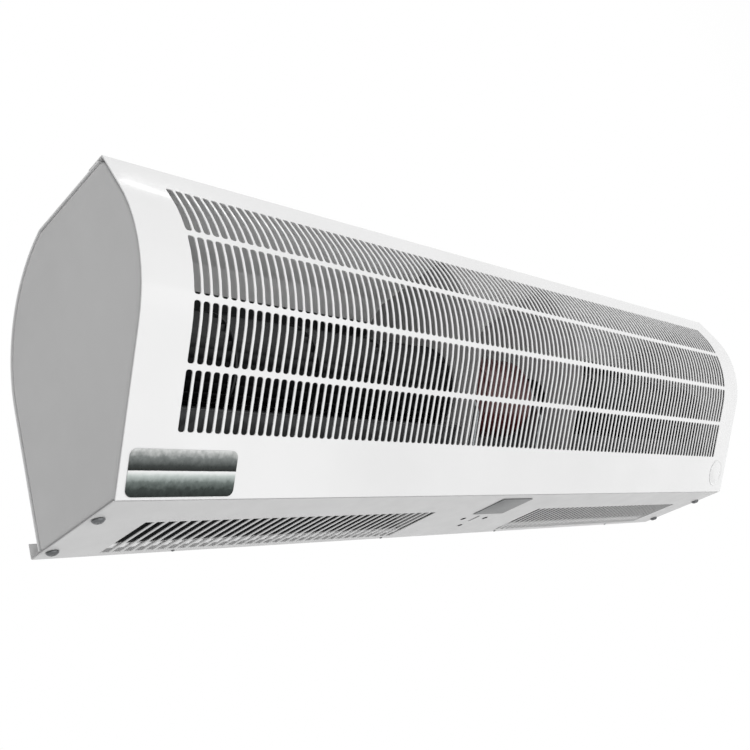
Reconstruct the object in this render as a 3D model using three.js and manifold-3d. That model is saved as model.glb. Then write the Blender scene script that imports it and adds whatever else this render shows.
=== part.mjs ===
// Air curtain, 900 mm long, for mounting on a wall above a doorway.
// Air enters through the slotted front, two long cross-flow wheels on one
// double-ended motor carry it over the wheels' axis, and it leaves downwards
// through two slotted outlets in the bottom plate.
//
// Units are millimetres, +X along the length, +Y to the wall, +Z up. Inside the
// unit y = 0, z = 0 is the lower front edge; the finished group is shifted so
// that the origin lies on the wall, at the middle of the mounting rail.

import * as THREE from 'three';
import { mergeGeometries, mergeVertices } from 'three/addons/utils/BufferGeometryUtils.js';
import Module from 'manifold-3d';

const wasm = await Module();
wasm.setup();

// ---------------------------------------------------------------- dimensions

const LENGTH = 900; // overall, along X
const DEPTH = 104; // lower front edge to the back wall of the casing
const WALL_GAP = 12; // back wall of the casing to the building's wall
const SHEET = 1.2; // casing sheet
const GAP = 0.3; // clearance between pieces that seat on each other

// Front: straight lower run leaning outwards, one large bend, a flat crest strip.
const FRONT_LEAN = THREE.MathUtils.degToRad(34.2);
const FRONT_RUN = 112.5;
const FRONT_RADIUS = 105;
const FRONT_SWEEP = THREE.MathUtils.degToRad(51.8);
const CREST_LEAN = THREE.MathUtils.degToRad(20);
const CREST_LENGTH = 37.6;
const TOP_FLANGE = 19; // the front panel's flange that lies on the top
const RETURN_FLANGE = 14; // the front panel's flange inside, on the bottom plate

// Back: straight wall, then one bend forward, which stops short of level at the
// flat top. The wall's height follows from the bend and the front's height.
const BACK_RADIUS = 113.5;
const BACK_SWEEP = THREE.MathUtils.degToRad(71);
const BACK_BEND_STEPS = 6;
const BACK_FLANGE = 11; // the rear shell's flange inside, on the bottom plate
const REAR_LIP = 12; // upturned edge of the bottom plate, against the wall

// Side plates: a pan with a rim flush with the casing and a flange inside it.
const SIDE_RIM = 3.2;
const SIDE_FLANGE = 15;
const FINE_STEPS = 8; // steps of the front bend along the side plates' outer edge

// Front grille: rows of upright slots, placed along the front's curve.
const ROWS = 4;
const FIRST_ROW = 45.3; // curve length from the lower edge to the lowest row
const ROW_LENGTH = 41.4;
const ROW_BAND = 4; // solid band between two rows
const SLOT_MARGIN = 39; // side of the unit to the first slot
const SLOT_PITCH = 7.48;
const SLOT_WIDTH = 5.3;

// Outlets in the bottom plate: two groups of slots that run front to back.
const OUTLET_SLOT_PITCH = 9.63;
const OUTLET_SLOT_WIDTH = 7;
const OUTLET_INNER = 85.6; // the group's end nearest the middle, from the middle
const OUTLET_MARGIN = 49.3; // side of the unit to the first slot
const OUTLET_FRONT = 43.5;
const OUTLET_BEHIND = 4; // how far the slots run on behind the casing's back wall

// Air path
const FAN_TO_BACK = 89; // fan's axis to the casing's back wall
const FAN_Z = 112;
const FAN_RADIUS = 43;
const BLADES = 16;
const BLADE_DEPTH = 10;
const BLADE_THICKNESS = 1.6;
const BLADE_TURN = THREE.MathUtils.degToRad(11); // inner edge behind the outer edge
const DISC_THICKNESS = 2;
const DISC_BORE = 30; // of the middle ring
const PARTITION_X = 86; // middle of the unit to the partition's inner face
const PARTITION_SHEET = 1.2;
const PARTITION_HOLE = 26;
const PARTITION_FRONT_GAP = 12;
const WHEEL_CLEARANCE = 5; // partition to wheel
const WHEEL_TO_SIDE = 22; // wheel's outer face to the unit's end
const GUIDE_SHEET = 1;
const GUIDE_LIP = [58, 50]; // degrees round the back bend that the lip covers
const GUIDE_NOSE = 50; // radius of the rear guide's nose from the axis
const GUIDE_NOSE_AT = 60; // degrees round the axis
const GUIDE_THROAT = 73; // radius where the guide meets the outlet duct
const GUIDE_THROAT_AT = -18;
const GUIDE_STEPS = 4;
const DUCT_TOP = 30; // height where the guide becomes the duct's straight wall
const DUCT_FRONT = 42; // the outlet duct's front edge, where the tongue starts
const TONGUE_Y = -10; // the tongue's tip
const TONGUE_Z = 65;
const TONGUE_FOLD = [5, 4]; // forwards and down from the tip

// Motor, in the middle
const MOTOR_RADIUS = 40;
const STATOR_HALF = 34;
const BELL_LENGTH = 12;
const BELL_SHOULDER = 2; // how far the bell is drawn in half way along
const BELL_DRAFT = 9; // and at its end
const STATOR_AIR = 3; // stator's bore round the shaft
const BOSS_RADIUS = 15;
const BOSS_LENGTH = 13;
const RING_THICKNESS = 7;
const BRACKET_SHEET = 3;
const BRACKET_RIM = 7; // round the rubber ring
const BRACKET_FRONT = 17; // the foot, from the lower front edge
const BRACKET_BACK = 75;
const BRACKET_SHOULDERS = [28, 76.5, 58]; // heights: front low, front high, back
const SHAFT_RADIUS = 5;
const HUB_RADIUS = 16;
const HUB_LENGTH = 17;
const JOURNAL_RADIUS = 4;
const BUSH_RADIUS = 13;
const BUSH_LENGTH = 10;
const SEAT_WALL = 6;
const SEAT_FLANGE = 3;
const STUB_FLANGE_RADIUS = 12;
const STUB_FLANGE = 2.5;
const STUB_BEFORE_BUSH = 6; // wheel's outer face to the bush
const STUB_BEYOND_BUSH = 1;

// Controls, above the middle of the bottom plate
const BUTTON_X = 18;
const CONTROL_TO_BACK = 38; // buttons and window to the casing's back wall
const BUTTON_RADIUS = 2.7;
const BUTTON_HOLE = 3.1;
const BUTTON_COLLAR = 4.5;
const BUTTON_TRAVEL = 1.5;
const RECESS = 0.4; // of the buttons below the outer face
const WINDOW_WIDTH = 3.4;
const WINDOW_LENGTH = 14.4;
const LAMP_TO_BACK = 18;
const BOARD_Z = 14;
const BOARD_THICKNESS = 1.6;
const BOARD_HALF_LENGTH = 40;
const BOARD_FRONT = 44;
const BOARD_TO_BACK = 11; // board to the casing's back wall
const BOARD_POST = 3; // radius
const SWITCH_SIZE = 6;
const SWITCH_HEIGHT = 3.5;
const WINDOW_FLANGE = 1.2;
const BUTTON_STEM = 1.8;
const CAPACITOR = { x: [-70, -22], z: [22, 58], depth: 20 };
const TERMINALS = { x: [14, 70], z: [24, 48], poles: 5, wall: 2, base: 9, depth: 18 };

// Fasteners, fittings and stickers
const SCREW_INSET = 7; // from the unit's end
const FRONT_SCREW_Y = 34;
const REAR_SCREW_INSET = 6; // in front of the casing's back wall
const SCREW_HEAD_RADIUS = 4.65;
const SCREW_HEAD = 2.6;
const SCREW_EDGE = 0.6; // the head's upright edge
const SCREW_BEYOND = 5; // shank beyond the side plate's flange
const SCREW_SHANK_RADIUS = 2.2;
const SCREW_HOLE = 2.6;
const STICKER_THICKNESS = 0.4;
const STICKER_LENGTH = 86;
const STICKER_HEIGHT = 32;
const STICKER_INSET = 49; // the front sticker's middle, from the left end
const STICKER_ALONG = 18.3; // its middle, along the front's curve
const STICKER_CORNER = 5;
const BADGE_INSET = 25; // the round badge's middle, from the right end
const BADGE_ALONG = 25;
const BADGE_RADIUS = 17;
const PLATE_BOX = [-19.5, 11, 30, 52]; // blank rating plate: x, y to x, y
const GROMMET_INSET = 70; // from the right end
const GROMMET_Z = 40;
const GROMMET_HOLE = 9;
const GROMMET_BRIM = 3; // beyond its hole
const GROMMET_LIP = 2; // thickness of the brim

// Mounting rail on the back
const RAIL_INSET = 150; // unit's end to the rail's end
const RAIL_Z = 72;
const RAIL_SHEET = 2;
const RAIL_CROWN = 18; // half height of the face on the wall
const RAIL_FLANGE = 12;
const KEYHOLE_INSET = 50; // outer keyholes, from the rail's ends
const KEYHOLE_INNER = 120; // inner keyholes, from the middle
const KEYHOLE_RADIUS = 5.5;
const KEYHOLE_SLOT = 5.5;

// Sides of round pieces
const MOTOR_SIDES = 16;
const JOURNAL_SIDES = 12;
const SMALL_SIDES = 10;
const POST_SIDES = 8;

// Derived sizes
const HALF = LENGTH / 2;
const SHELL_HALF = HALF - SIDE_RIM; // half length of the panels between the rims
const FLANGE_HALF = HALF - SIDE_FLANGE - 1; // inside flanges stop short of the sides'
const FLOOR = SHEET + GAP; // underside of what stands on the bottom plate
const LEDGE = FLOOR + SHEET + GAP; // underside of what stands on an inside flange
const WALL = DEPTH + WALL_GAP;
const SCREW_X = HALF - SCREW_INSET;
const SCREW_ROWS = [FRONT_SCREW_Y, DEPTH - REAR_SCREW_INSET];
const RAIL_HALF = HALF - RAIL_INSET;
const FAN_Y = DEPTH - FAN_TO_BACK;
const WHEEL_END = HALF - WHEEL_TO_SIDE; // middle of the unit to the wheel's outer face
const DUCT_BACK = DEPTH - BACK_FLANGE - GAP; // the outlet duct's rear wall
const CONTROL_Y = DEPTH - CONTROL_TO_BACK;
const LAMP_Y = DEPTH - LAMP_TO_BACK;
const WHEEL_START = PARTITION_X + PARTITION_SHEET + WHEEL_CLEARANCE;

// ----------------------------------------------------------------- materials

function paint(color, roughness, metalness = 0) {
  return new THREE.MeshStandardMaterial({ color, roughness, metalness });
}

const MATERIALS = {
  glossWhite: paint(0xf1f1ef, 0.18),
  sideGrey: paint(0xbdbec0, 0.45),
  plateGrey: paint(0xcbccce, 0.4),
  zinc: paint(0xa9adb0, 0.45, 0.8),
  blackSheet: paint(0x17181a, 0.55),
  wheelBlack: paint(0x202225, 0.5),
  motorRed: paint(0x5e1416, 0.4),
  darkSteel: paint(0x4d5054, 0.4, 0.8),
  steel: paint(0x9c9fa3, 0.3, 0.9),
  rubber: paint(0x1b1b1b, 0.85),
  plasticWhite: paint(0xe4e4df, 0.5),
  plasticBlack: paint(0x151515, 0.45),
  boardGreen: paint(0x1f5a3a, 0.6),
  silverFilm: paint(0x8b8f92, 0.3, 0.6),
  plateFilm: paint(0x8e9194, 0.35, 0.4),
};

// ------------------------------------------------------------ solid geometry

// Turns a shape drawn in (y, z) and extruded along its own z to run along X.
const SECTION_TO_X = new THREE.Matrix4().set(0, 0, 1, 0, 1, 0, 0, 0, 0, 1, 0, 0, 0, 0, 0, 1);
// Turns a lathe, which revolves about Y, to revolve about Z, X or Y.
const LATHE_TO_Z = new THREE.Matrix4().makeRotationX(Math.PI / 2);
const LATHE_TO_X = new THREE.Matrix4().makeRotationZ(-Math.PI / 2);

// Outlines run anticlockwise and their holes clockwise, as an extrusion needs.
function shapeOf(points, holes = []) {
  const turned = (list, clockwise) => {
    const vectors = list.map(([u, v]) => new THREE.Vector2(u, v));
    return THREE.ShapeUtils.isClockWise(vectors) === clockwise ? vectors : vectors.reverse();
  };
  const shape = new THREE.Shape(turned(points, false));
  shape.holes = holes.map((hole) => new THREE.Path(turned(hole, true)));
  return shape;
}

// Section in (y, z), carried along X from x0 to x1.
function extrudeX(points, x0, x1, holes) {
  const low = Math.min(x0, x1);
  const depth = Math.abs(x1 - x0);
  const geometry = new THREE.ExtrudeGeometry(shapeOf(points, holes), { depth, bevelEnabled: false });
  return geometry.applyMatrix4(SECTION_TO_X).translate(low, 0, 0);
}

// Outline in (x, y), carried up from z0 to z1.
function extrudeZ(points, z0, z1, holes) {
  const geometry = new THREE.ExtrudeGeometry(shapeOf(points, holes), { depth: z1 - z0, bevelEnabled: false });
  return geometry.translate(0, 0, z0);
}

function box(x0, y0, z0, x1, y1, z1) {
  const geometry = new THREE.BoxGeometry(x1 - x0, y1 - y0, z1 - z0).toNonIndexed();
  return geometry.translate((x0 + x1) / 2, (y0 + y1) / 2, (z0 + z1) / 2);
}

// Profile of [radius, height] pairs, revolved about Z and moved to its place.
function latheZ(profile, sides, x, y) {
  const points = profile.map(([r, h]) => new THREE.Vector2(r, h));
  return new THREE.LatheGeometry(points, sides).applyMatrix4(LATHE_TO_Z).translate(x, y, 0);
}

// Profile of [radius, x] pairs, revolved about the fan's axis.
function latheFan(profile, sides) {
  const points = profile.map(([r, x]) => new THREE.Vector2(r, x));
  return new THREE.LatheGeometry(points, sides).applyMatrix4(LATHE_TO_X).translate(0, FAN_Y, FAN_Z);
}

function circle(cu, cv, radius, sides) {
  return Array.from({ length: sides }, (_, i) => {
    const angle = (2 * Math.PI * (i + 0.5)) / sides;
    return [cu + radius * Math.cos(angle), cv + radius * Math.sin(angle)];
  });
}

// A closed geometry as a solid, with its faces turned outwards.
function solid(geometry) {
  const bare = geometry.index ? geometry.toNonIndexed() : geometry.clone();
  bare.deleteAttribute('normal');
  bare.deleteAttribute('uv');
  const merged = mergeVertices(bare, 1e-4);
  const position = merged.getAttribute('position');
  const a = new THREE.Vector3();
  const b = new THREE.Vector3();
  const c = new THREE.Vector3();
  const triangles = [];
  let volume = 0;
  for (let i = 0; i < merged.index.count; i += 3) {
    const [p, q, r] = [0, 1, 2].map((k) => merged.index.getX(i + k));
    if (p === q || q === r || r === p) continue;
    a.fromBufferAttribute(position, p);
    b.fromBufferAttribute(position, q);
    c.fromBufferAttribute(position, r);
    volume += a.dot(b.cross(c));
    triangles.push(p, q, r);
  }
  if (volume < 0) triangles.reverse();
  const mesh = new wasm.Mesh({
    numProp: 3,
    vertProperties: new Float32Array(position.array),
    triVerts: new Uint32Array(triangles),
  });
  return new wasm.Manifold(mesh);
}

function join(...geometries) {
  return geometries.map(solid).reduce((whole, next) => whole.add(next));
}

// Cutters are disjoint closed shapes, so many of them make one solid.
function cut(body, cutters) {
  return cutters.length ? body.subtract(solid(mergeGeometries(cutters))) : body;
}

function toGeometry(body) {
  const { vertProperties, triVerts } = body.getMesh();
  const geometry = new THREE.BufferGeometry();
  geometry.setAttribute('position', new THREE.BufferAttribute(new Float32Array(vertProperties), 3));
  geometry.setIndex(new THREE.BufferAttribute(new Uint32Array(triVerts), 1));
  geometry.computeVertexNormals();
  return geometry;
}

const unit = new THREE.Group();

function addPiece(name, body, material) {
  const mesh = new THREE.Mesh(toGeometry(body), material);
  mesh.name = name;
  unit.add(mesh);
}

// The same piece on the left (-1) and the right (+1).
function addPair(name, make, material) {
  for (const side of [-1, 1]) {
    addPiece(`${side < 0 ? 'left' : 'right'}_${name}`, make(side), material);
  }
}

// A span along X that is given for the right-hand side.
function span(side, x0, x1) {
  return side < 0 ? [-x1, -x0] : [x0, x1];
}

// ------------------------------------------------------------ casing outline

const FRONT_TOTAL = FRONT_RUN + FRONT_RADIUS * FRONT_SWEEP + CREST_LENGTH;

// Point and outward normal on the front's curve, s along it from the lower edge.
function frontAt(s) {
  const arcLength = FRONT_RADIUS * FRONT_SWEEP;
  const along = (point, heading, distance) => [
    point[0] + Math.sin(heading) * distance,
    point[1] + Math.cos(heading) * distance,
  ];
  const outward = (heading) => [-Math.cos(heading), Math.sin(heading)];
  if (s <= FRONT_RUN) {
    return { point: along([0, 0], -FRONT_LEAN, s), normal: outward(-FRONT_LEAN) };
  }
  const bendStart = along([0, 0], -FRONT_LEAN, FRONT_RUN);
  const centre = [
    bendStart[0] + FRONT_RADIUS * Math.cos(FRONT_LEAN),
    bendStart[1] + FRONT_RADIUS * Math.sin(FRONT_LEAN),
  ];
  const onBend = (heading) => outward(heading).map((n, i) => centre[i] + FRONT_RADIUS * n);
  if (s <= FRONT_RUN + arcLength) {
    const heading = -FRONT_LEAN + (s - FRONT_RUN) / FRONT_RADIUS;
    return { point: onBend(heading), normal: outward(heading) };
  }
  const bendEnd = onBend(FRONT_SWEEP - FRONT_LEAN);
  return { point: along(bendEnd, CREST_LEAN, s - FRONT_RUN - arcLength), normal: outward(CREST_LEAN) };
}

const [APEX_Y, HEIGHT] = frontAt(FRONT_TOTAL).point;
const TOP = HEIGHT - SHEET - GAP; // the rear shell's top, under the front's flange
const BACK_STRAIGHT = TOP - BACK_RADIUS * Math.sin(BACK_SWEEP);

function rowStart(row) {
  return FIRST_ROW + row * (ROW_LENGTH + ROW_BAND);
}

// Where the front panel's flats meet: each row above the lowest is one flat, and
// the curve's turns lie in the bands between the rows.
function panelStations() {
  const rowEdges = Array.from({ length: ROWS - 1 }, (_, i) => [rowStart(i + 1), rowStart(i + 1) + ROW_LENGTH]);
  return [0, ...rowEdges.flat(), FRONT_TOTAL];
}

function fineStations() {
  const bend = Array.from({ length: FINE_STEPS + 1 }, (_, i) => (
    FRONT_RUN + (FRONT_RADIUS * FRONT_SWEEP * i) / FINE_STEPS
  ));
  return [0, ...bend, FRONT_TOTAL];
}

// Back curve, from the flat top round to the foot of the back wall.
function backCurve(steps, foot) {
  const bend = Array.from({ length: steps + 1 }, (_, i) => {
    const angle = BACK_SWEEP * (1 - i / steps);
    return [
      DEPTH - BACK_RADIUS + BACK_RADIUS * Math.cos(angle),
      BACK_STRAIGHT + BACK_RADIUS * Math.sin(angle),
    ];
  });
  return [...bend, [DEPTH, foot]];
}

// Whole outline of the casing, with the bottom at the given height.
function casingOutline(stations, backSteps, foot) {
  const front = stations.map((s) => frontAt(s).point);
  const [[y0, z0], [y1, z1]] = front;
  front[0] = [y0 + ((foot - z0) * (y1 - y0)) / (z1 - z0), foot];
  return [...front, ...backCurve(backSteps, foot)];
}

// Moves each edge of a convex clockwise outline inwards by its own distance.
function inset(points, distanceOf) {
  const count = points.length;
  const edges = points.map(([u, v], i) => {
    const [u1, v1] = points[(i + 1) % count];
    const length = Math.hypot(u1 - u, v1 - v);
    const normal = [(v1 - v) / length, -(u1 - u) / length];
    return { normal, offset: normal[0] * u + normal[1] * v + distanceOf(i, normal) };
  });
  return points.map((_, i) => {
    const before = edges[(i + count - 1) % count];
    const after = edges[i];
    const det = before.normal[0] * after.normal[1] - before.normal[1] * after.normal[0];
    return [
      (before.offset * after.normal[1] - after.offset * before.normal[1]) / det,
      (before.normal[0] * after.offset - after.normal[0] * before.offset) / det,
    ];
  });
}

// An open path of sheet, thickened to its right-hand side (left if negative).
function sheetSection(path, thickness) {
  const normals = path.slice(1).map(([u1, v1], i) => {
    const [u0, v0] = path[i];
    const length = Math.hypot(u1 - u0, v1 - v0);
    return [(v1 - v0) / length, -(u1 - u0) / length];
  });
  const far = path.map(([u, v], i) => {
    const before = normals[Math.max(i - 1, 0)];
    const after = normals[Math.min(i, normals.length - 1)];
    const scale = thickness / (1 + before[0] * after[0] + before[1] * after[1]);
    return [u + (before[0] + after[0]) * scale, v + (before[1] + after[1]) * scale];
  });
  return [...path, ...far.reverse()];
}

// ------------------------------------------------------------- casing pieces

// One cutter for each slot of a row, square to the curve at both its ends.
function rowCutters(row) {
  const ends = [rowStart(row), rowStart(row) + ROW_LENGTH].map(frontAt);
  const reach = (distance) => ends.map(({ point, normal }) => (
    [point[0] + normal[0] * distance, point[1] + normal[1] * distance]
  ));
  const section = [...reach(3 * SHEET), ...reach(-3 * SHEET).reverse()];
  const count = 1 + Math.floor((LENGTH - 2 * SLOT_MARGIN - SLOT_WIDTH) / SLOT_PITCH);
  return Array.from({ length: count }, (_, i) => {
    const middle = (i - (count - 1) / 2) * SLOT_PITCH;
    return extrudeX(section, middle - SLOT_WIDTH / 2, middle + SLOT_WIDTH / 2);
  });
}

function frontGrillePanel() {
  const path = [...panelStations().map((s) => frontAt(s).point), [APEX_Y + TOP_FLANGE, HEIGHT]];
  const flangeStart = -SHEET / 2; // inside the thickness of the leaning sheet
  const body = join(
    extrudeX(sheetSection(path, SHEET), -SHELL_HALF, SHELL_HALF),
    box(-FLANGE_HALF, flangeStart, FLOOR, FLANGE_HALF, RETURN_FLANGE, FLOOR + SHEET),
  );
  const rows = Array.from({ length: ROWS }, (_, row) => rowCutters(row));
  return rows.reduce(cut, body);
}

function rearShell() {
  const path = [[APEX_Y + 2 * SHEET + RETURN_FLANGE / 4, TOP], ...backCurve(BACK_BEND_STEPS, FLOOR)];
  const body = join(
    extrudeX(sheetSection(path, SHEET), -SHELL_HALF, SHELL_HALF),
    box(-FLANGE_HALF, DEPTH - BACK_FLANGE, FLOOR, FLANGE_HALF, DEPTH - SHEET / 2, FLOOR + SHEET),
  );
  const through = 4 * SHEET;
  const profile = [[0, -through], [GROMMET_HOLE, -through], [GROMMET_HOLE, through], [0, through]];
  const hole = latheZ(profile, JOURNAL_SIDES, 0, 0);
  hole.rotateX(Math.PI / 2).translate(HALF - GROMMET_INSET, DEPTH, GROMMET_Z);
  return cut(body, [hole]);
}

// Cutter for a round hole through the bottom plate and what stands on it.
function roundHole(x, y, radius) {
  return extrudeZ(circle(x, y, radius, SMALL_SIDES), -SHEET, LEDGE + SHEET);
}

function sidePlate(side) {
  const coarse = casingOutline(panelStations(), BACK_BEND_STEPS, FLOOR);
  const fine = casingOutline(fineStations(), 2 * BACK_BEND_STEPS, FLOOR);
  // The bottom keeps its height, and the top clears the rear shell's sheet.
  const ring = (distance, bottom, top) => inset(coarse, (_, [, up]) => {
    if (up > 0.99) return bottom;
    return up < -0.99 ? top : distance;
  });
  const clear = SHEET + GAP;
  const outerFlange = ring(clear, 0, 2 * clear);
  const innerFlange = ring(clear + SHEET, SHEET, 2 * clear + SHEET);
  const plate = extrudeX(fine, ...span(side, HALF - SHEET, HALF));
  const rim = extrudeX(coarse, ...span(side, SHELL_HALF + GAP, HALF - SHEET / 2), [innerFlange]);
  const flange = extrudeX(outerFlange, ...span(side, HALF - SIDE_FLANGE, HALF - SHEET / 2), [innerFlange]);
  return cut(join(plate, rim, flange), SCREW_ROWS.map((y) => roundHole(side * SCREW_X, y, SCREW_HOLE)));
}

function outletSlots(side) {
  const room = HALF - OUTLET_MARGIN - OUTLET_INNER - OUTLET_SLOT_WIDTH;
  const count = 1 + Math.round(room / OUTLET_SLOT_PITCH);
  return Array.from({ length: count }, (_, i) => {
    const start = OUTLET_INNER + i * OUTLET_SLOT_PITCH;
    const [x0, x1] = span(side, start, start + OUTLET_SLOT_WIDTH);
    return box(x0, OUTLET_FRONT, -SHEET, x1, DEPTH + OUTLET_BEHIND, 2 * SHEET);
  });
}

function bottomOutletPlate() {
  const front = SHEET / Math.cos(FRONT_LEAN) + GAP;
  const section = [
    [front, 0], [WALL, 0], [WALL, REAR_LIP], [WALL - SHEET, REAR_LIP], [WALL - SHEET, SHEET], [front, SHEET],
  ];
  const plate = solid(extrudeX(section, -HALF, HALF));
  const windowHole = [WINDOW_WIDTH / 2 + GAP, WINDOW_LENGTH / 2 + GAP];
  const [x, y] = windowHole;
  const holes = [
    ...[-1, 1].map((side) => roundHole(side * BUTTON_X, CONTROL_Y, BUTTON_HOLE)),
    roundHole(0, LAMP_Y, BUTTON_HOLE),
    box(-x, CONTROL_Y - y, -SHEET, x, CONTROL_Y + y, 2 * SHEET),
    ...[-1, 1].flatMap((side) => SCREW_ROWS.map((row) => roundHole(side * SCREW_X, row, SCREW_HOLE))),
  ];
  return [outletSlots(-1), outletSlots(1), holes].reduce(cut, plate);
}

// Hat-shaped rail: two flanges on the back wall and a crown on the building's wall.
function mountingRail() {
  const back = DEPTH + GAP;
  const low = RAIL_Z - RAIL_CROWN;
  const high = RAIL_Z + RAIL_CROWN;
  const section = [
    [back, low - RAIL_FLANGE], [back + RAIL_SHEET, low - RAIL_FLANGE], [back + RAIL_SHEET, low],
    [WALL, low], [WALL, high], [back + RAIL_SHEET, high],
    [back + RAIL_SHEET, high + RAIL_FLANGE], [back, high + RAIL_FLANGE], [back, high - RAIL_SHEET],
    [WALL - RAIL_SHEET, high - RAIL_SHEET], [WALL - RAIL_SHEET, low + RAIL_SHEET], [back, low + RAIL_SHEET],
  ];
  const rail = solid(extrudeX(section, -RAIL_HALF, RAIL_HALF));
  const head = RAIL_Z - RAIL_CROWN / 3;
  const through = 2 * RAIL_SHEET;
  const round = circle(0, 0, KEYHOLE_RADIUS, SMALL_SIDES);
  const half = KEYHOLE_SLOT / 2;
  const outer = RAIL_HALF - KEYHOLE_INSET;
  return [-outer, -KEYHOLE_INNER, KEYHOLE_INNER, outer].reduce((body, x) => {
    const opening = extrudeZ(round, -through, through).rotateX(Math.PI / 2).translate(x, WALL, head);
    const slot = box(x - half, WALL - through, head, x + half, WALL + through, head + RAIL_CROWN);
    return body.subtract(solid(opening)).subtract(solid(slot));
  }, rail);
}

// ------------------------------------------------------------------ air path

function partition(side) {
  const outline = inset(casingOutline(panelStations(), BACK_BEND_STEPS, LEDGE), (_, [back, up]) => {
    if (up > 0.99) return 0;
    if (up < -0.99) return 2 * (SHEET + GAP);
    return back > 0 ? PARTITION_FRONT_GAP : SHEET + GAP;
  });
  const hole = circle(FAN_Y, FAN_Z, PARTITION_HOLE, MOTOR_SIDES);
  return solid(extrudeX(outline, ...span(side, PARTITION_X, PARTITION_X + PARTITION_SHEET), [hole]));
}

function aroundFan(radius, degrees) {
  const angle = THREE.MathUtils.degToRad(degrees);
  return [FAN_Y + radius * Math.cos(angle), FAN_Z + radius * Math.sin(angle)];
}

const DUCT_SPAN = [PARTITION_X + PARTITION_SHEET + GAP, HALF - SIDE_FLANGE - GAP];

// Guide behind the wheel: a lip under the shell, a nose close to the wheel, a
// spiral that opens out, and the outlet duct's rear wall.
function rearGuide(side) {
  const lipRadius = BACK_RADIUS - SHEET - 2.5 * GAP;
  const onShell = (degrees) => {
    const angle = THREE.MathUtils.degToRad(degrees);
    return [DEPTH - BACK_RADIUS + lipRadius * Math.cos(angle), BACK_STRAIGHT + lipRadius * Math.sin(angle)];
  };
  const spiral = Array.from({ length: GUIDE_STEPS + 1 }, (_, i) => {
    const { lerp } = THREE.MathUtils;
    const t = i / GUIDE_STEPS;
    return aroundFan(lerp(GUIDE_NOSE, GUIDE_THROAT, t), lerp(GUIDE_NOSE_AT, GUIDE_THROAT_AT, t));
  });
  const path = [...GUIDE_LIP.map(onShell), ...spiral, [DUCT_BACK, DUCT_TOP], [DUCT_BACK, LEDGE]];
  return solid(extrudeX(sheetSection(path, GUIDE_SHEET), ...span(side, ...DUCT_SPAN)));
}

// Tongue in front of the wheel: a foot on the bottom plate, a rising wall that
// parts the intake from the outlet duct, and a folded tip.
function frontTongue(side) {
  const path = [
    [DUCT_FRONT - RETURN_FLANGE, FLOOR], [DUCT_FRONT, FLOOR],
    [TONGUE_Y, TONGUE_Z], [TONGUE_Y - TONGUE_FOLD[0], TONGUE_Z - TONGUE_FOLD[1]],
  ];
  return solid(extrudeX(sheetSection(path, -GUIDE_SHEET), ...span(side, ...DUCT_SPAN)));
}

// Cross-flow wheel: blades between two discs, stiffened by a ring half way.
function impeller(side) {
  const disc = (x, bore) => {
    const hole = bore ? [circle(FAN_Y, FAN_Z, bore, BLADES)] : [];
    return extrudeX(circle(FAN_Y, FAN_Z, FAN_RADIUS, BLADES), ...span(side, x, x + DISC_THICKNESS), hole);
  };
  const blades = Array.from({ length: BLADES }, (_, i) => {
    const outer = (2 * Math.PI * i) / BLADES;
    const inner = outer + BLADE_TURN;
    const outerRadius = FAN_RADIUS * Math.cos(Math.PI / BLADES) - GAP;
    const innerRadius = FAN_RADIUS - BLADE_DEPTH;
    const corner = (radius, angle) => [FAN_Y + radius * Math.cos(angle), FAN_Z + radius * Math.sin(angle)];
    const outerHalf = BLADE_THICKNESS / 2 / outerRadius;
    const innerHalf = BLADE_THICKNESS / 2 / innerRadius;
    const section = [
      corner(outerRadius, outer - outerHalf), corner(outerRadius, outer + outerHalf),
      corner(innerRadius, inner + innerHalf), corner(innerRadius, inner - innerHalf),
    ];
    return extrudeX(section, ...span(side, WHEEL_START + DISC_THICKNESS / 2, WHEEL_END - DISC_THICKNESS / 2));
  });
  const middle = (WHEEL_START + WHEEL_END) / 2;
  return [disc(WHEEL_START), disc(middle, DISC_BORE), disc(WHEEL_END - DISC_THICKNESS)]
    .reduce((wheel, ring) => wheel.add(solid(ring)), solid(mergeGeometries(blades)));
}

// Stub shaft on the wheel's outer disc, running in the end bush.
const STUB_START = WHEEL_END + GAP;
const BUSH_START = WHEEL_END + STUB_BEFORE_BUSH;
const STUB_END = BUSH_START + BUSH_LENGTH + STUB_BEYOND_BUSH;

function stubShaft(side) {
  const x = (value) => side * value;
  return solid(latheFan([
    [0, x(STUB_START)], [STUB_FLANGE_RADIUS, x(STUB_START)], [STUB_FLANGE_RADIUS, x(STUB_START + STUB_FLANGE)],
    [JOURNAL_RADIUS, x(STUB_START + STUB_FLANGE)], [JOURNAL_RADIUS, x(STUB_END)], [0, x(STUB_END)],
  ], JOURNAL_SIDES));
}

function ringProfile(inner, outer, x0, x1) {
  return [[inner, x0], [outer, x0], [outer, x1], [inner, x1], [inner, x0]];
}

// Bore whose flats clear a shaft of the same number of sides in any position.
function boreFor(radius, sides) {
  return (radius + GAP / 2) / Math.cos(Math.PI / sides);
}

function endBush(side) {
  const bore = boreFor(JOURNAL_RADIUS, JOURNAL_SIDES);
  const profile = ringProfile(bore, BUSH_RADIUS, side * BUSH_START, side * (BUSH_START + BUSH_LENGTH));
  return solid(latheFan(profile, JOURNAL_SIDES));
}

// Cup on the side plate that holds the bush.
function bushSeat(side) {
  const plateFace = HALF - SHEET - GAP;
  const inner = (BUSH_RADIUS + GAP) / Math.cos(Math.PI / JOURNAL_SIDES);
  const outer = inner + SEAT_WALL;
  const x = (value) => side * value;
  return solid(latheFan([
    [inner, x(BUSH_START)], [outer, x(BUSH_START)], [outer, x(plateFace - SEAT_FLANGE)],
    [outer + SEAT_WALL, x(plateFace - SEAT_FLANGE)], [outer + SEAT_WALL, x(plateFace)],
    [inner, x(plateFace)], [inner, x(BUSH_START)],
  ], JOURNAL_SIDES));
}

// --------------------------------------------------------------------- motor

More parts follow.
